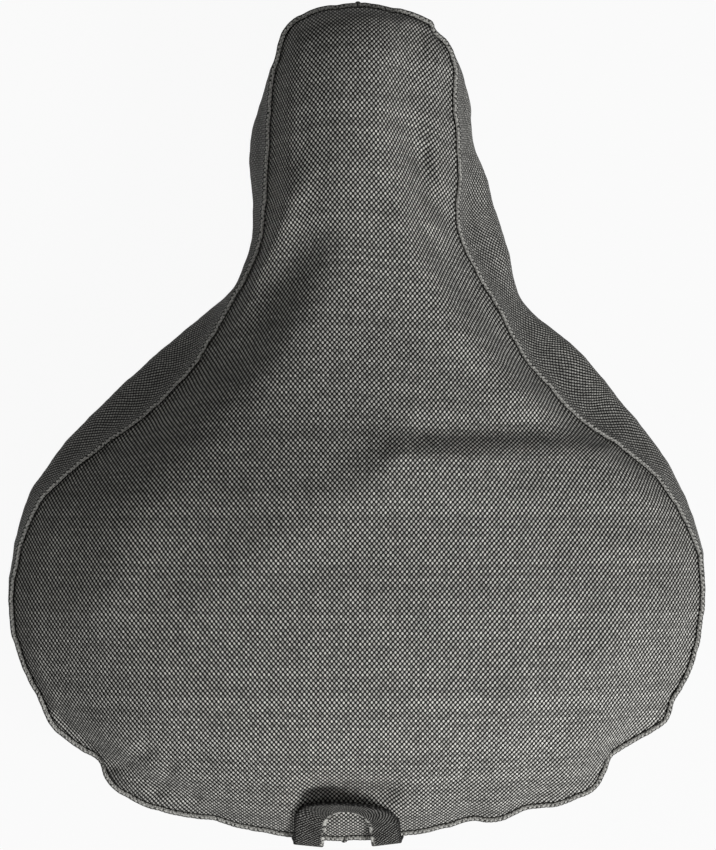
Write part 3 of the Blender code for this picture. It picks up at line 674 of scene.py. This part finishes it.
def side_sections(ring):
    """Middle line of the side band's cloth at every station, from its seam allowance to its hem's."""
    seam, down, inside = ring.seam_frame()
    leg = [seam + inside * LAYER + down * SEAM_ALLOWANCE * f for f in (1.0, 0.7, 0.4, 0.15)]
    centre = seam + inside * LAYER / 2
    fold = [centre + inside * x - down * y for x, y in arc(0, 180, LAYER / 2, 7)[:-1]]
    stitch = 1 - HEM_STITCH / ring.top
    wall = ring.wall_line(np.linspace(0, 1, WALL_POINTS) * stitch[:, None])
    foot_corner = ring.wall_line([1.0])[:, 0]
    low_wall = [foot_corner + np.array([0.0, share * HEM_STITCH]) for share in LOW_WALL_SHARES]
    soft = HEM_EDGE_RADIUS
    heel = [foot_corner + np.array([-soft, soft]) + p for p in arc(0, -90, soft, 5)]
    toe = foot_corner + np.array([-CASING, 0.0])
    sole = [toe + np.array([soft, soft]) + p for p in arc(-90, -180, soft, 5)]
    inner = [
        toe + np.array([0.0, 0.55 * CASING]),
        toe + np.array([0.0, CASING]),
        foot_corner + np.array([-0.6 * CASING, CASING + 0.55 * HEM_CLOSING]),
        foot_corner + np.array([-LAYER, HEM_STITCH - CLOTH / 2]),
        foot_corner + np.array([-LAYER, HEM_STITCH + 0.5 * HEM_ALLOWANCE]),
        foot_corner + np.array([-LAYER, HEM_STITCH + HEM_ALLOWANCE]),
    ]
    pieces = leg + fold + [wall[:, k] for k in range(wall.shape[1])] + low_wall + heel + sole + inner
    return np.stack(pieces, 1)


def build_side_panel(name, ring, sections, indices, material):
    """One half of the side band as a closed shell through its sections."""
    outer = ring.placed(shifted(sections, -CLOTH / 2))[indices]
    inner = ring.placed(shifted(sections, CLOTH / 2))[indices]
    for side in (outer, inner):
        for end, neighbour in ((0, 1), (-1, -2)):
            step = outer[neighbour, 0, :2] - outer[end, 0, :2]
            side[end, :, :2] += step / np.linalg.norm(step) * GAP / 2
    rings = np.concatenate([outer, inner[:, ::-1]], 1)
    rows, count = rings.shape[:2]
    index = np.arange(rows * count).reshape(rows, count)
    after = np.roll(index, -1, 1)
    faces = np.stack([index[:-1], after[:-1], after[1:], index[1:]], 2).reshape(-1, 4)
    caps = []
    for row, turn in ((index[0], 1), (index[-1], -1)):
        for k in range(count // 2 - 1):
            caps.append((row[k], row[k + 1], row[count - 2 - k], row[count - 1 - k])[::turn])
    ob = mesh_object(name, rings.reshape(-1, 3), np.vstack([faces, caps]), material)
    face_outward(ob)
    down = np.concatenate([np.zeros((rows, 1)), np.linalg.norm(np.diff(outer, axis=1), axis=2)], 1)
    down = np.cumsum(down, 1)
    along = ring.run[indices][:, None] + 0 * down
    uv = np.stack([along, -down], 2)
    uv = np.concatenate([uv, uv[:, ::-1]], 1)
    add_uv(ob, uv.reshape(-1, 2))
    return ob


def rings_along(path):
    """Two cross directions for each point of an open path."""
    ahead = np.roll(path, -1, 0) - np.roll(path, 1, 0)
    ahead[0], ahead[-1] = path[1] - path[0], path[-1] - path[-2]
    ahead /= np.linalg.norm(ahead, axis=1)[:, None]
    up = np.tile([0.0, 0.0, 1.0], (len(path), 1))
    up[abs(ahead[:, 2]) > 0.9] = (0.0, 1.0, 0.0)
    side = np.cross(ahead, up)
    side /= np.linalg.norm(side, axis=1)[:, None]
    return side, np.cross(side, ahead)


def skin(rings):
    """Faces over rings of points, with a cap at both ends."""
    count, sides = rings.shape[:2]
    index = np.arange(count * sides).reshape(count, sides)
    here, after = index[:-1], index[1:]
    faces = np.stack([here, after, np.roll(after, -1, 1), np.roll(here, -1, 1)], 2).reshape(-1, 4).tolist()
    return faces + [index[0].tolist(), index[-1][::-1].tolist()]


def round_rings(path, radius, angles):
    """Round sections along an open path; radius may change along it."""
    side, up = rings_along(path)
    radius = np.broadcast_to(radius, len(path))[:, None, None]
    around = np.cos(angles)[None, :, None] * side[:, None] + np.sin(angles)[None, :, None] * up[:, None]
    return path[:, None] + radius * around


def tube_mesh(name, path, radius, sides, material):
    """A round tube along an open path."""
    path = np.array(path)
    angles = 2 * math.pi * np.arange(sides) / sides
    rings = round_rings(path, radius, angles)
    ob = mesh_object(name, rings.reshape(-1, 3), skin(rings), material)
    run = run_along(path)
    around = np.broadcast_to(angles * radius, (len(path), sides))
    add_uv(ob, np.stack([around, np.broadcast_to(run[:, None], around.shape)], 2).reshape(-1, 2))
    return ob


def stitched(name, path, closed, radius, material):
    """A row of single stitches along a path, each one a short thick thread that dips at its ends."""
    path = np.array(path)
    if closed:
        path = np.vstack([path, path[:1]])
    run = run_along(path)
    count = max(1, round(run[-1] / (STITCH_LENGTH + STITCH_SPACE)))
    starts = np.arange(count) * run[-1] / count
    length = run[-1] / count - STITCH_SPACE
    shares = np.array([0.0, 0.08, 0.25, 0.5, 0.75, 0.92, 1.0])
    swell = np.array([0.25, 0.7, 0.95, 1.0, 0.95, 0.7, 0.25])
    angles = 2 * math.pi * np.arange(8) / 8
    vertices, faces = [], []
    for start in starts:
        at = start + length * shares
        line = np.stack([np.interp(at, run, path[:, k]) for k in range(3)], 1)
        rings = round_rings(line, radius * swell, angles)
        base = len(vertices) * len(shares) * len(angles)
        faces += [[base + i for i in face] for face in skin(rings)]
        vertices.append(rings.reshape(-1, 3))
    return mesh_object(name, np.vstack(vertices), faces, material)


# The pull loop

def surface_of(objects):
    """Evaluated faces of the objects, to lay other pieces on."""
    graph = bpy.context.evaluated_depsgraph_get()
    corners, faces = [], []
    for ob in objects:
        mesh = ob.evaluated_get(graph).to_mesh()
        start = len(corners)
        corners += [ob.matrix_world @ v.co for v in mesh.vertices]
        faces += [[start + i for i in p.vertices] for p in mesh.polygons]
    return BVHTree.FromPolygons(corners, faces)


def above(surface, x, y, lift):
    hit = surface.ray_cast(Vector((x, y, 1.0)), Vector((0, 0, -1)))[0]
    return Vector((x, y, hit.z + lift))


def behind(surface, x, z, lift):
    hit = surface.ray_cast(Vector((x, -1.0, z)), Vector((0, 1, 0)))[0]
    return Vector((x, hit.y - lift, z))


def loop_edges(surface, side):
    """Outer and inner edge of the loop's ribbon, from the foot of one leg to the middle."""
    rear_y = (REAR_RIGHT[0][1] + CENTRING[1]) * MM
    seam_z = float(seam_height(rear_y))
    clear = GAP + WEBBING / 2
    half = LOOP_SPAN / 2
    edges = []
    for drop in (*(LOOP_LEG_DROP * share for share in LEG_SHARES), LOOP_BEND_DROP):
        splay = LOOP_SPLAY * drop / LOOP_LEG_DROP
        middle = half + splay
        pair = []
        for reach in (middle + LOOP_WIDTH / 2, middle - LOOP_WIDTH / 2):
            x = LOOP_MIDDLE + side * reach
            pair.append(behind(surface, x, seam_z - drop, clear + LOOP_EASE))
        edges.append(pair)
    over = []
    for reach in (half + LOOP_WIDTH / 2, half - LOOP_WIDTH / 2):
        x = LOOP_MIDDLE + side * reach
        wall = behind(surface, x, seam_z - LOOP_BEND_DROP, clear)
        over.append(Vector((x, wall.y, seam_z + LAYER + clear + LOOP_LIFT)))
    edges.append(over)
    for outer_x, outer_y, inner_x, inner_y in LOOP_ARCH:
        pair = []
        for share, ahead in ((inner_x, inner_y), (outer_x, outer_y)):
            x = LOOP_MIDDLE + side * half * share
            y = rear_y + ahead * LOOP_WIDTH + LOOP_TURN * (x - LOOP_MIDDLE)
            pair.append(above(surface, x, y, clear + LOOP_LIFT))
        inner, outer = pair
        flat = (outer - inner).xy.length
        outer.z = max(outer.z, inner.z + math.sqrt(max(LOOP_WIDTH**2 - flat**2, 0.0)))
        edges.append([outer, inner])
    return edges


def open_spline(points, steps):
    """A smooth open curve through the points, with so many places on each span."""
    points = np.array(points)
    ends = np.vstack([2 * points[0] - points[1], points, 2 * points[-1] - points[-2]])
    at = np.arange((len(points) - 1) * steps + 1) / steps
    return catmull(np.vstack([ends, ends[-1:]]), 1 + np.minimum(at, len(points) - 1 - 1e-9))


def build_loop(surface, material):
    """The webbing's ribbon: a flat rounded section that follows the two edges."""
    left, right = loop_edges(surface, -1), loop_edges(surface, 1)
    pairs = left + right[-2::-1]
    outer = open_spline([tuple(p[0]) for p in pairs], 10)
    inner = open_spline([tuple(p[1]) for p in pairs], 10)
    middle = (outer + inner) / 2
    across = outer - inner
    width = np.linalg.norm(across, axis=1)[:, None]
    across = across / width
    ahead = np.gradient(middle, axis=0)
    ahead -= (ahead * across).sum(1)[:, None] * across
    ahead /= np.linalg.norm(ahead, axis=1)[:, None]
    out = np.cross(ahead, across)
    half = WEBBING / 2
    flat = np.linspace(-1, 1, 13)
    reach = 0.5 - half / LOOP_WIDTH
    edge = [(math.sin(a) * half / LOOP_WIDTH, math.cos(a)) for a in LOOP_EDGE_ANGLES]
    section = [(f * reach, 1.0) for f in flat]
    section += [(reach + x, z) for x, z in edge]
    section += [(f * reach, -1.0) for f in flat[::-1]]
    section += [(-reach - x, -z) for x, z in edge]
    section = np.array(section)
    rings = (
        middle[:, None]
        + (width * section[None, :, 0])[..., None] * across[:, None]
        + (half * section[None, :, 1])[..., None] * out[:, None]
    )
    ob = mesh_object("webbing_loop", rings.reshape(-1, 3), skin(rings), material)
    run = run_along(middle)
    shape = rings.shape[:2]
    lay = [np.broadcast_to(section[:, 0] * LOOP_WIDTH, shape), np.broadcast_to(run[:, None], shape)]
    add_uv(ob, np.stack(lay, 2).reshape(-1, 2))
    face_outward(ob)
    return ob, {"left": left, "right": right}


def build_bar_tack(name, edges, material):
    """Close zigzag stitches across the foot of a leg, just off its outer face."""
    (low_outer, low_inner), (high_outer, high_inner) = edges[0], edges[1]
    low, high = low_outer.lerp(low_inner, 0.5), high_outer.lerp(high_inner, 0.5)
    up = (high - low).normalized()
    across = low_outer - low_inner if low_outer.x > low_inner.x else low_inner - low_outer
    away = across.cross(up).normalized()
    across = up.cross(away).normalized()
    centre = low + up * TACK_HEIGHT + away * (WEBBING / 2 + GAP + TACK_THICKNESS / 2)
    path = []
    for k in range(TACK_TURNS + 1):
        along = (k / TACK_TURNS - 0.5) * (TACK_LENGTH - TACK_THICKNESS)
        rise = (0.5 if k % 2 else -0.5) * (TACK_HEIGHT - TACK_THICKNESS)
        for bend in (-TACK_BEND, TACK_BEND):
            path.append(centre + across * (along + bend) + up * rise)
    return tube_mesh(name, path, TACK_THICKNESS / 2, 8, material)


def join_line(ring, station, offset, high_drop, low_rise, count):
    """Points down the wall at one station, moved off its middle by offset."""
    top = ring.top[station]
    shares = np.linspace(high_drop / top, 1 - low_rise / top, count)
    line = shifted(ring.wall_line(np.broadcast_to(shares, (ring.count, count))), offset)
    return ring.placed(line)[station]


# Materials

class Nodes:
    """A short way to write a material's node tree."""

    def __init__(self, name):
        self.material = bpy.data.materials.new(name)
        self.material.use_nodes = True
        self.tree = self.material.node_tree
        self.shader = self.tree.nodes["Principled BSDF"]

    def add(self, kind, settings=None, **inputs):
        node = self.tree.nodes.new(kind)
        for key, value in (settings or {}).items():
            setattr(node, key, value)
        for key, value in inputs.items():
            self.set(node.inputs[key.replace("_", " ")], value)
        return node

    def set(self, socket, value):
        if isinstance(value, bpy.types.NodeSocket):
            self.tree.links.new(value, socket)
        else:
            socket.default_value = value

    def math(self, operation, a, b=0.0, c=0.0):
        node = self.tree.nodes.new("ShaderNodeMath")
        node.operation = operation
        for socket, value in zip(node.inputs, (a, b, c)):
            self.set(socket, value)
        return node.outputs[0]

    def mix(self, share, a, b):
        """Plain number blend from a to b."""
        node = self.add("ShaderNodeMix", {"data_type": "FLOAT"})
        self.set(node.inputs[0], share)
        self.set(node.inputs[2], a)
        self.set(node.inputs[3], b)
        return node.outputs[0]

    def colour(self, share, a, b):
        node = self.add("ShaderNodeMix", {"data_type": "RGBA"})
        self.set(node.inputs[0], share)
        self.set(node.inputs[6], a)
        self.set(node.inputs[7], b)
        return node.outputs[2]

    def step(self, value, low, high):
        node = self.add("ShaderNodeMapRange", {"interpolation_type": "SMOOTHSTEP"})
        for key, v in zip((0, 1, 2, 3, 4), (value, low, high, 0.0, 1.0)):
            self.set(node.inputs[key], v)
        return node.outputs[0]

    def noise(self, vector, scale, detail=2.0):
        node = self.add("ShaderNodeTexNoise", None, Vector=vector, Scale=scale, Detail=detail)
        return node.outputs["Fac"]


def woven(name, colours, fold_highlight_colour=None):
    """A plain weave on the cloth UV map: weft yarns along it and warp yarns across take turns on top.

    With a highlight colour, the fold that stands along the top seam of the side band gets a painted
    highlight: a patchy light band where its top would catch the light."""
    weft_painted_sheen_colour, warp_painted_shade_colour, gap_painted_shade_colour = colours
    n = Nodes(name)
    uv = n.add("ShaderNodeUVMap", {"uv_map": "cloth"}).outputs[0]
    split = n.add("ShaderNodeSeparateXYZ", None, Vector=uv)
    wander = n.add("ShaderNodeTexNoise", None, Vector=uv, Scale=90.0, Detail=1.0)
    drift = n.add("ShaderNodeSeparateColor", None, Color=wander.outputs["Color"])
    places, waves, signs, profiles = [], [], [], []
    for k in (0, 1):
        place = n.math("DIVIDE", split.outputs[k], WEAVE_PITCH[k])
        place = n.math("MULTIPLY_ADD", n.math("SUBTRACT", drift.outputs[k], 0.5), YARN_WANDER, place)
        wave = n.math("SINE", n.math("MULTIPLY", place, math.pi))
        off = n.math("MULTIPLY", n.math("SUBTRACT", n.math("FRACT", place), 0.5), 2 / YARN_WIDTH[k])
        squared = n.math("MULTIPLY", off, off)
        profiles.append(n.math("SQRT", n.math("MAXIMUM", n.math("SUBTRACT", 1.0, squared), 0.0)))
        places.append(place)
        waves.append(wave)
        signs.append(n.math("SIGN", wave))
    weft_crimp = n.math("MULTIPLY", n.math("MULTIPLY", waves[0], signs[1]), YARN_CRIMP)
    warp_crimp = n.math("MULTIPLY", n.math("MULTIPLY", waves[1], signs[0]), -YARN_CRIMP)
    # Painted light: the crossings lean to one diagonal on the left of the cover and to the other on the
    # right, as the light falls across the slopes; this moves the painted sheen and shade of the yarns and
    # their bump
    spot = n.add("ShaderNodeSeparateXYZ", None, Vector=n.add("ShaderNodeTexCoord").outputs["Object"])
    side = n.math("TANH", n.math("DIVIDE", spot.outputs[0], LIGHT_DIAGONAL_REACH))
    corners = [n.math("COSINE", n.math("MULTIPLY", place, math.pi)) for place in places]
    light_diagonal_lean = n.math("MULTIPLY", n.math("MULTIPLY", corners[0], corners[1]), n.math("MULTIPLY", side, LIGHT_DIAGONAL_LEAN))
    weft = n.math("ADD", n.math("MULTIPLY_ADD", profiles[1], 1 - YARN_CRIMP, weft_crimp), light_diagonal_lean)
    warp = n.math("MULTIPLY_ADD", profiles[0], 1 - YARN_CRIMP, warp_crimp)
    over = n.step(n.math("SUBTRACT", weft, warp), -OVER_EDGE, OVER_EDGE)
    height = n.math("MAXIMUM", weft, warp)
    columns, rows = (n.math("FLOOR", place) for place in places)
    cell = n.add("ShaderNodeCombineXYZ", None, X=columns, Y=rows)
    speck = n.add("ShaderNodeTexWhiteNoise", {"noise_dimensions": "2D"}, Vector=cell.outputs[0])
    line_a = n.add("ShaderNodeTexWhiteNoise", {"noise_dimensions": "1D"}, W=columns)
    line_b = n.add("ShaderNodeTexWhiteNoise", {"noise_dimensions": "1D"}, W=rows)
    yarn = n.mix(over, line_a.outputs[0], line_b.outputs[0])
    cloud = n.noise(uv, 60.0, 3.0)
    tone = 1.0
    for source, share in ((speck.outputs[0], CROSSING_TONE), (yarn, YARN_TONE), (cloud, CLOUD_TONE)):
        varied = n.math("MULTIPLY_ADD", n.math("SUBTRACT", source, 0.5), share, 1.0)
        tone = n.math("MULTIPLY", varied, tone)
    # Painted light: the light weft grey is painted sheen and the dark warp grey is painted shade, lit and
    # shaded copies of one dark grey yarn
    base = n.colour(over, warp_painted_shade_colour, weft_painted_sheen_colour)
    # Painted shade: near black in the low gaps between the yarns
    depth = n.step(height, *GAP_SHADE_HEIGHTS)
    shade = n.add("ShaderNodeVectorMath", {"operation": "SCALE"})
    n.set(shade.inputs[0], n.colour(depth, gap_painted_shade_colour, base))
    n.set(shade.inputs["Scale"], tone)
    final = shade.outputs[0]
    # Painted highlight: a patchy light band along the top of the seam's fold, where it would catch the light
    if fold_highlight_colour:
        away = n.math("ABSOLUTE", n.math("ADD", split.outputs[1], SEAM_ALLOWANCE + FOLD_HIGHLIGHT_PLACE))
        fold_highlight = n.math("SUBTRACT", FOLD_HIGHLIGHT_SHARE, n.math("MULTIPLY", n.step(away, *FOLD_HIGHLIGHT_REACH), FOLD_HIGHLIGHT_SHARE))
        fold_highlight = n.math("MULTIPLY", fold_highlight, n.step(n.noise(uv, 1500.0, 2.0), 0.34, 0.62))
        final = n.colour(fold_highlight, final, fold_highlight_colour)
    n.set(n.shader.inputs["Base Color"], final)
    n.set(n.shader.inputs["Roughness"], n.mix(depth, 0.95, 0.6))
    n.shader.inputs["Sheen Weight"].default_value = 0.02
    n.shader.inputs["Sheen Roughness"].default_value = 0.5
    n.shader.inputs["Specular IOR Level"].default_value = 0.12
    bump = n.add("ShaderNodeBump", None, Height=height, Strength=1.0, Distance=YARN_RELIEF)
    n.set(n.shader.inputs["Normal"], bump.outputs[0])
    return n.material


def ribbed(name, colours):
    """Dense webbing: slanted ribs of fine yarn on the cloth UV map, and light stitches by its inner edge."""
    high_colour, low_colour, edge_colour = colours
    n = Nodes(name)
    uv = n.add("ShaderNodeUVMap", {"uv_map": "cloth"}).outputs[0]
    split = n.add("ShaderNodeSeparateXYZ", None, Vector=uv)
    wander = n.math("MULTIPLY", n.math("SUBTRACT", n.noise(uv, 400.0, 2.0), 0.5), 1.2)
    a = n.math("ADD", n.math("DIVIDE", split.outputs[0], WEBBING_PITCH[0]), wander)
    b = n.math("DIVIDE", split.outputs[1], WEBBING_PITCH[1])
    waves = []
    for slant in ("ADD", "SUBTRACT"):
        wave = n.math("SINE", n.math("MULTIPLY", n.math(slant, a, b), 2 * math.pi))
        waves.append(n.math("MULTIPLY_ADD", wave, 0.5, 0.5))
    rib, yarn = waves
    height = n.math("MULTIPLY", n.step(rib, 0.3, 0.9), n.mix(n.step(yarn, 0.15, 0.8), 0.2, 1.0))
    cloud = n.noise(uv, 250.0, 3.0)
    tone = n.math("MULTIPLY", height, n.math("MULTIPLY_ADD", cloud, 1.6, 0.2))
    # Painted shade: the webbing darkens towards its outer edge, the standing bar's top edge turned from the
    # light
    edge = LOOP_WIDTH / 2 - WEBBING_EDGE
    outer = n.step(split.outputs[0], edge, LOOP_WIDTH / 2)
    tone = n.math("MULTIPLY", tone, n.math("SUBTRACT", 1.0, n.math("MULTIPLY", outer, 0.8)))
    inner = n.step(n.math("MULTIPLY", split.outputs[0], -1.0), edge, edge + 0.5 * WEBBING_EDGE)
    stitches = n.math("MULTIPLY", inner, n.step(n.noise(uv, 600.0, 2.0), 0.44, 0.58))
    base = n.colour(tone, low_colour, high_colour)
    n.set(n.shader.inputs["Base Color"], n.colour(stitches, base, edge_colour))
    n.set(n.shader.inputs["Roughness"], n.mix(height, 0.95, 0.65))
    n.shader.inputs["Sheen Weight"].default_value = 0.01
    n.shader.inputs["Specular IOR Level"].default_value = 0.15
    bump = n.add("ShaderNodeBump", None, Height=height, Strength=1.0, Distance=WEBBING_RELIEF)
    n.set(n.shader.inputs["Normal"], bump.outputs[0])
    return n.material


def plain_fibre(name, colour, scale, roughness):
    """Twisted or covered yarn: a fine streaked colour with a little relief."""
    n = Nodes(name)
    spot = n.add("ShaderNodeTexCoord").outputs["Object"]
    streak = n.noise(spot, scale, 3.0)
    dark, light = (tuple(share * c for c in colour) + (1,) for share in (0.6, 1.35))
    shade = n.colour(streak, dark, light)
    n.set(n.shader.inputs["Base Color"], shade)
    n.set(n.shader.inputs["Roughness"], n.mix(streak, roughness + 0.1, roughness - 0.1))
    relief = n.add("ShaderNodeBump", None, Height=streak, Strength=0.4, Distance=0.1 * MM)
    n.set(n.shader.inputs["Normal"], relief.outputs[0])
    return n.material


# The scene

def grey(level):
    """The cloth's grey, a little warmer than neutral, as a colour with alpha."""
    return (level, 0.99 * level, 0.93 * level, 1)


def add_area(name, place, target, size, power):
    lamp = bpy.data.lights.new(name, "AREA")
    lamp.shape = "DISK"
    lamp.size = size
    lamp.energy = power
    ob = bpy.data.objects.new(name, lamp)
    ob.location = place
    ob.rotation_euler = (Vector(target) - Vector(place)).to_track_quat("-Z", "Y").to_euler()
    bpy.context.scene.collection.objects.link(ob)


def build_floor():
    """A pale floor that the camera sees nearly white, with the object's shadow left on it."""
    bpy.ops.mesh.primitive_plane_add(size=6, location=(0, 0, cad_box[0][2]))
    floor = bpy.context.object
    floor.name = "studio_floor"
    n = Nodes("floor_white")
    n.shader.inputs["Base Color"].default_value = (FLOOR_GREY, FLOOR_GREY, FLOOR_GREY, 1)
    n.shader.inputs["Roughness"].default_value = 0.9
    path = n.add("ShaderNodeLightPath")
    seen = n.math("MAXIMUM", path.outputs["Is Camera Ray"], path.outputs["Is Glossy Ray"])
    seen = n.math("MAXIMUM", seen, path.outputs["Is Transmission Ray"])
    white = n.add("ShaderNodeEmission", None, Strength=1.0)
    blend = n.add("ShaderNodeMixShader", None, Fac=n.math("MULTIPLY", seen, FLOOR_WHITE_SHARE))
    n.tree.links.new(n.shader.outputs[0], blend.inputs[1])
    n.tree.links.new(white.outputs[0], blend.inputs[2])
    n.tree.links.new(blend.outputs[0], n.tree.nodes["Material Output"].inputs["Surface"])
    floor.data.materials.append(n.material)


def build_camera():
    """Straight down at the seam's middle height, from far enough for the photograph's flat view."""
    data = bpy.data.cameras.new("camera")
    camera = bpy.data.objects.new("camera", data)
    bpy.context.scene.collection.objects.link(camera)
    data.sensor_fit = "VERTICAL"
    data.sensor_height = 24
    data.lens = data.sensor_height * (CAMERA_HEIGHT - SHARP_HEIGHT) / VIEW_HEIGHT
    camera.location = (*VIEW_MIDDLE, CAMERA_HEIGHT)
    bpy.context.scene.camera = camera


def build_light():
    """A soft lamp from the right, weaker ones from the rear and from above, and an even pale sky."""
    world = bpy.data.worlds.new("studio")
    bpy.context.scene.world = world
    world.use_nodes = True
    sky = world.node_tree.nodes["Background"]
    sky.inputs["Color"].default_value = (1, 1, 1, 1)
    sky.inputs["Strength"].default_value = SKY_LEVEL
    target = np.array([0.0, 0.0, SHARP_HEIGHT])
    for name, (azimuth, elevation, power) in LAMPS.items():
        turn, rise = math.radians(azimuth), math.radians(elevation)
        way = np.array([math.cos(turn) * math.cos(rise), math.sin(turn) * math.cos(rise), math.sin(rise)])
        add_area(name, target + LAMP_DISTANCE * way, target, LAMP_SIZE, power)


def main():
    scene = bpy.context.scene
    scene.view_settings.view_transform = "Standard"
    build_camera()
    build_light()
    build_floor()

    # The cloth's greys hold painted sheen on the weft and painted shade on the warp and in the gaps
    cloth = woven("woven_cloth", map(grey, CLOTH_LIT_AND_SHADED_GREYS))
    # The band material is a darker copy of the cloth, painted shade of the steep sides, with the fold's
    # painted highlight
    band = woven("woven_band", map(grey, BAND_LIT_AND_SHADED_GREYS), grey(FOLD_HIGHLIGHT_GREY))
    webbing = ribbed("webbing", map(grey, WEBBING_GREYS))
    thread = plain_fibre("thread", THREAD_COLOUR, 2500.0, 0.7)
    rubber = plain_fibre("elastic", ELASTIC_COLOUR, 1500.0, 0.6)

    ring = Ring()
    top = build_top_panel(ring, cloth)
    sections = side_sections(ring)
    rear = STEPS_ACROSS * FINER // 2
    nose = (STEPS_ACROSS + STEPS_ALONG + STEPS_ACROSS // 2) * FINER
    right_half = np.arange(rear, nose + 1)
    left_half = np.arange(nose, ring.count + rear + 1) % ring.count
    right = build_side_panel("panel_right", ring, sections, right_half, band)
    left = build_side_panel("panel_left", ring, sections, left_half, band)

    panels = {"top_panel": top, "side_panel_right": right, "side_panel_left": left}
    pieces = [(panel, [node], "woven_cloth") for node, panel in panels.items()]

    bpy.context.view_layer.update()
    loop, edges = build_loop(surface_of([top, left, right]), webbing)
    pieces.append((loop, ["rear_loop"], "webbing"))
    for side in ("left", "right"):
        tack = build_bar_tack(f"tack_stitches_{side}", edges[side], thread)
        pieces.append((tack, [f"bar_tack_{side}"], "thread"))

    seam, down, inside = ring.seam_frame()
    deep = LAYER + CLOTH / 2 + GAP + CLOTH + GAP + THREAD_RADIUS
    seam_line = ring.placed((seam + inside * deep + down * SEAM_STITCH_DEPTH)[:, None])[:, 0]
    hem_share = 1 - HEM_STITCH / ring.top
    hem_spot = ring.wall_line(hem_share[:, None])[:, 0] + np.array([CLOTH / 2 + GAP + THREAD_RADIUS, 0.0])
    hem_line = ring.placed(hem_spot[:, None])[:, 0]
    for name, line, node in (
        ("seam_stitches", seam_line, "top_seam_thread"),
        ("hem_stitches", hem_line, "hem_thread"),
    ):
        pieces.append((stitched(name, line, True, THREAD_RADIUS, thread), [node], "thread"))
    high, low = SEAM_ALLOWANCE + 2 * LAYER, HEM_STITCH + HEM_ALLOWANCE + GAP
    off = CLOTH / 2 + GAP + THREAD_RADIUS
    for name, station in (("rear", rear), ("nose", nose)):
        line = join_line(ring, station, off, high, low, JOIN_POINTS)
        row = stitched(f"{name}_join_stitches", line, False, THREAD_RADIUS, thread)
        pieces.append((row, [f"{name}_seam_thread"], "thread"))
        line = join_line(ring, station, RIDGE_OFFSET, RIDGE_TOP, RIDGE_FOOT, JOIN_POINTS)
        ridge = tube_mesh(f"{name}_join_ridge", line, JOIN_RIDGE, 16, cloth)
        pieces.append((ridge, [], "woven_cloth"))
    for piece, nodes, slot in pieces:
        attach(piece, "root")
        if nodes:
            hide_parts(*nodes)
    elastic = bpy.data.objects["hem_elastic"].data
    elastic.materials.clear()
    elastic.materials.append(rubber)


main()
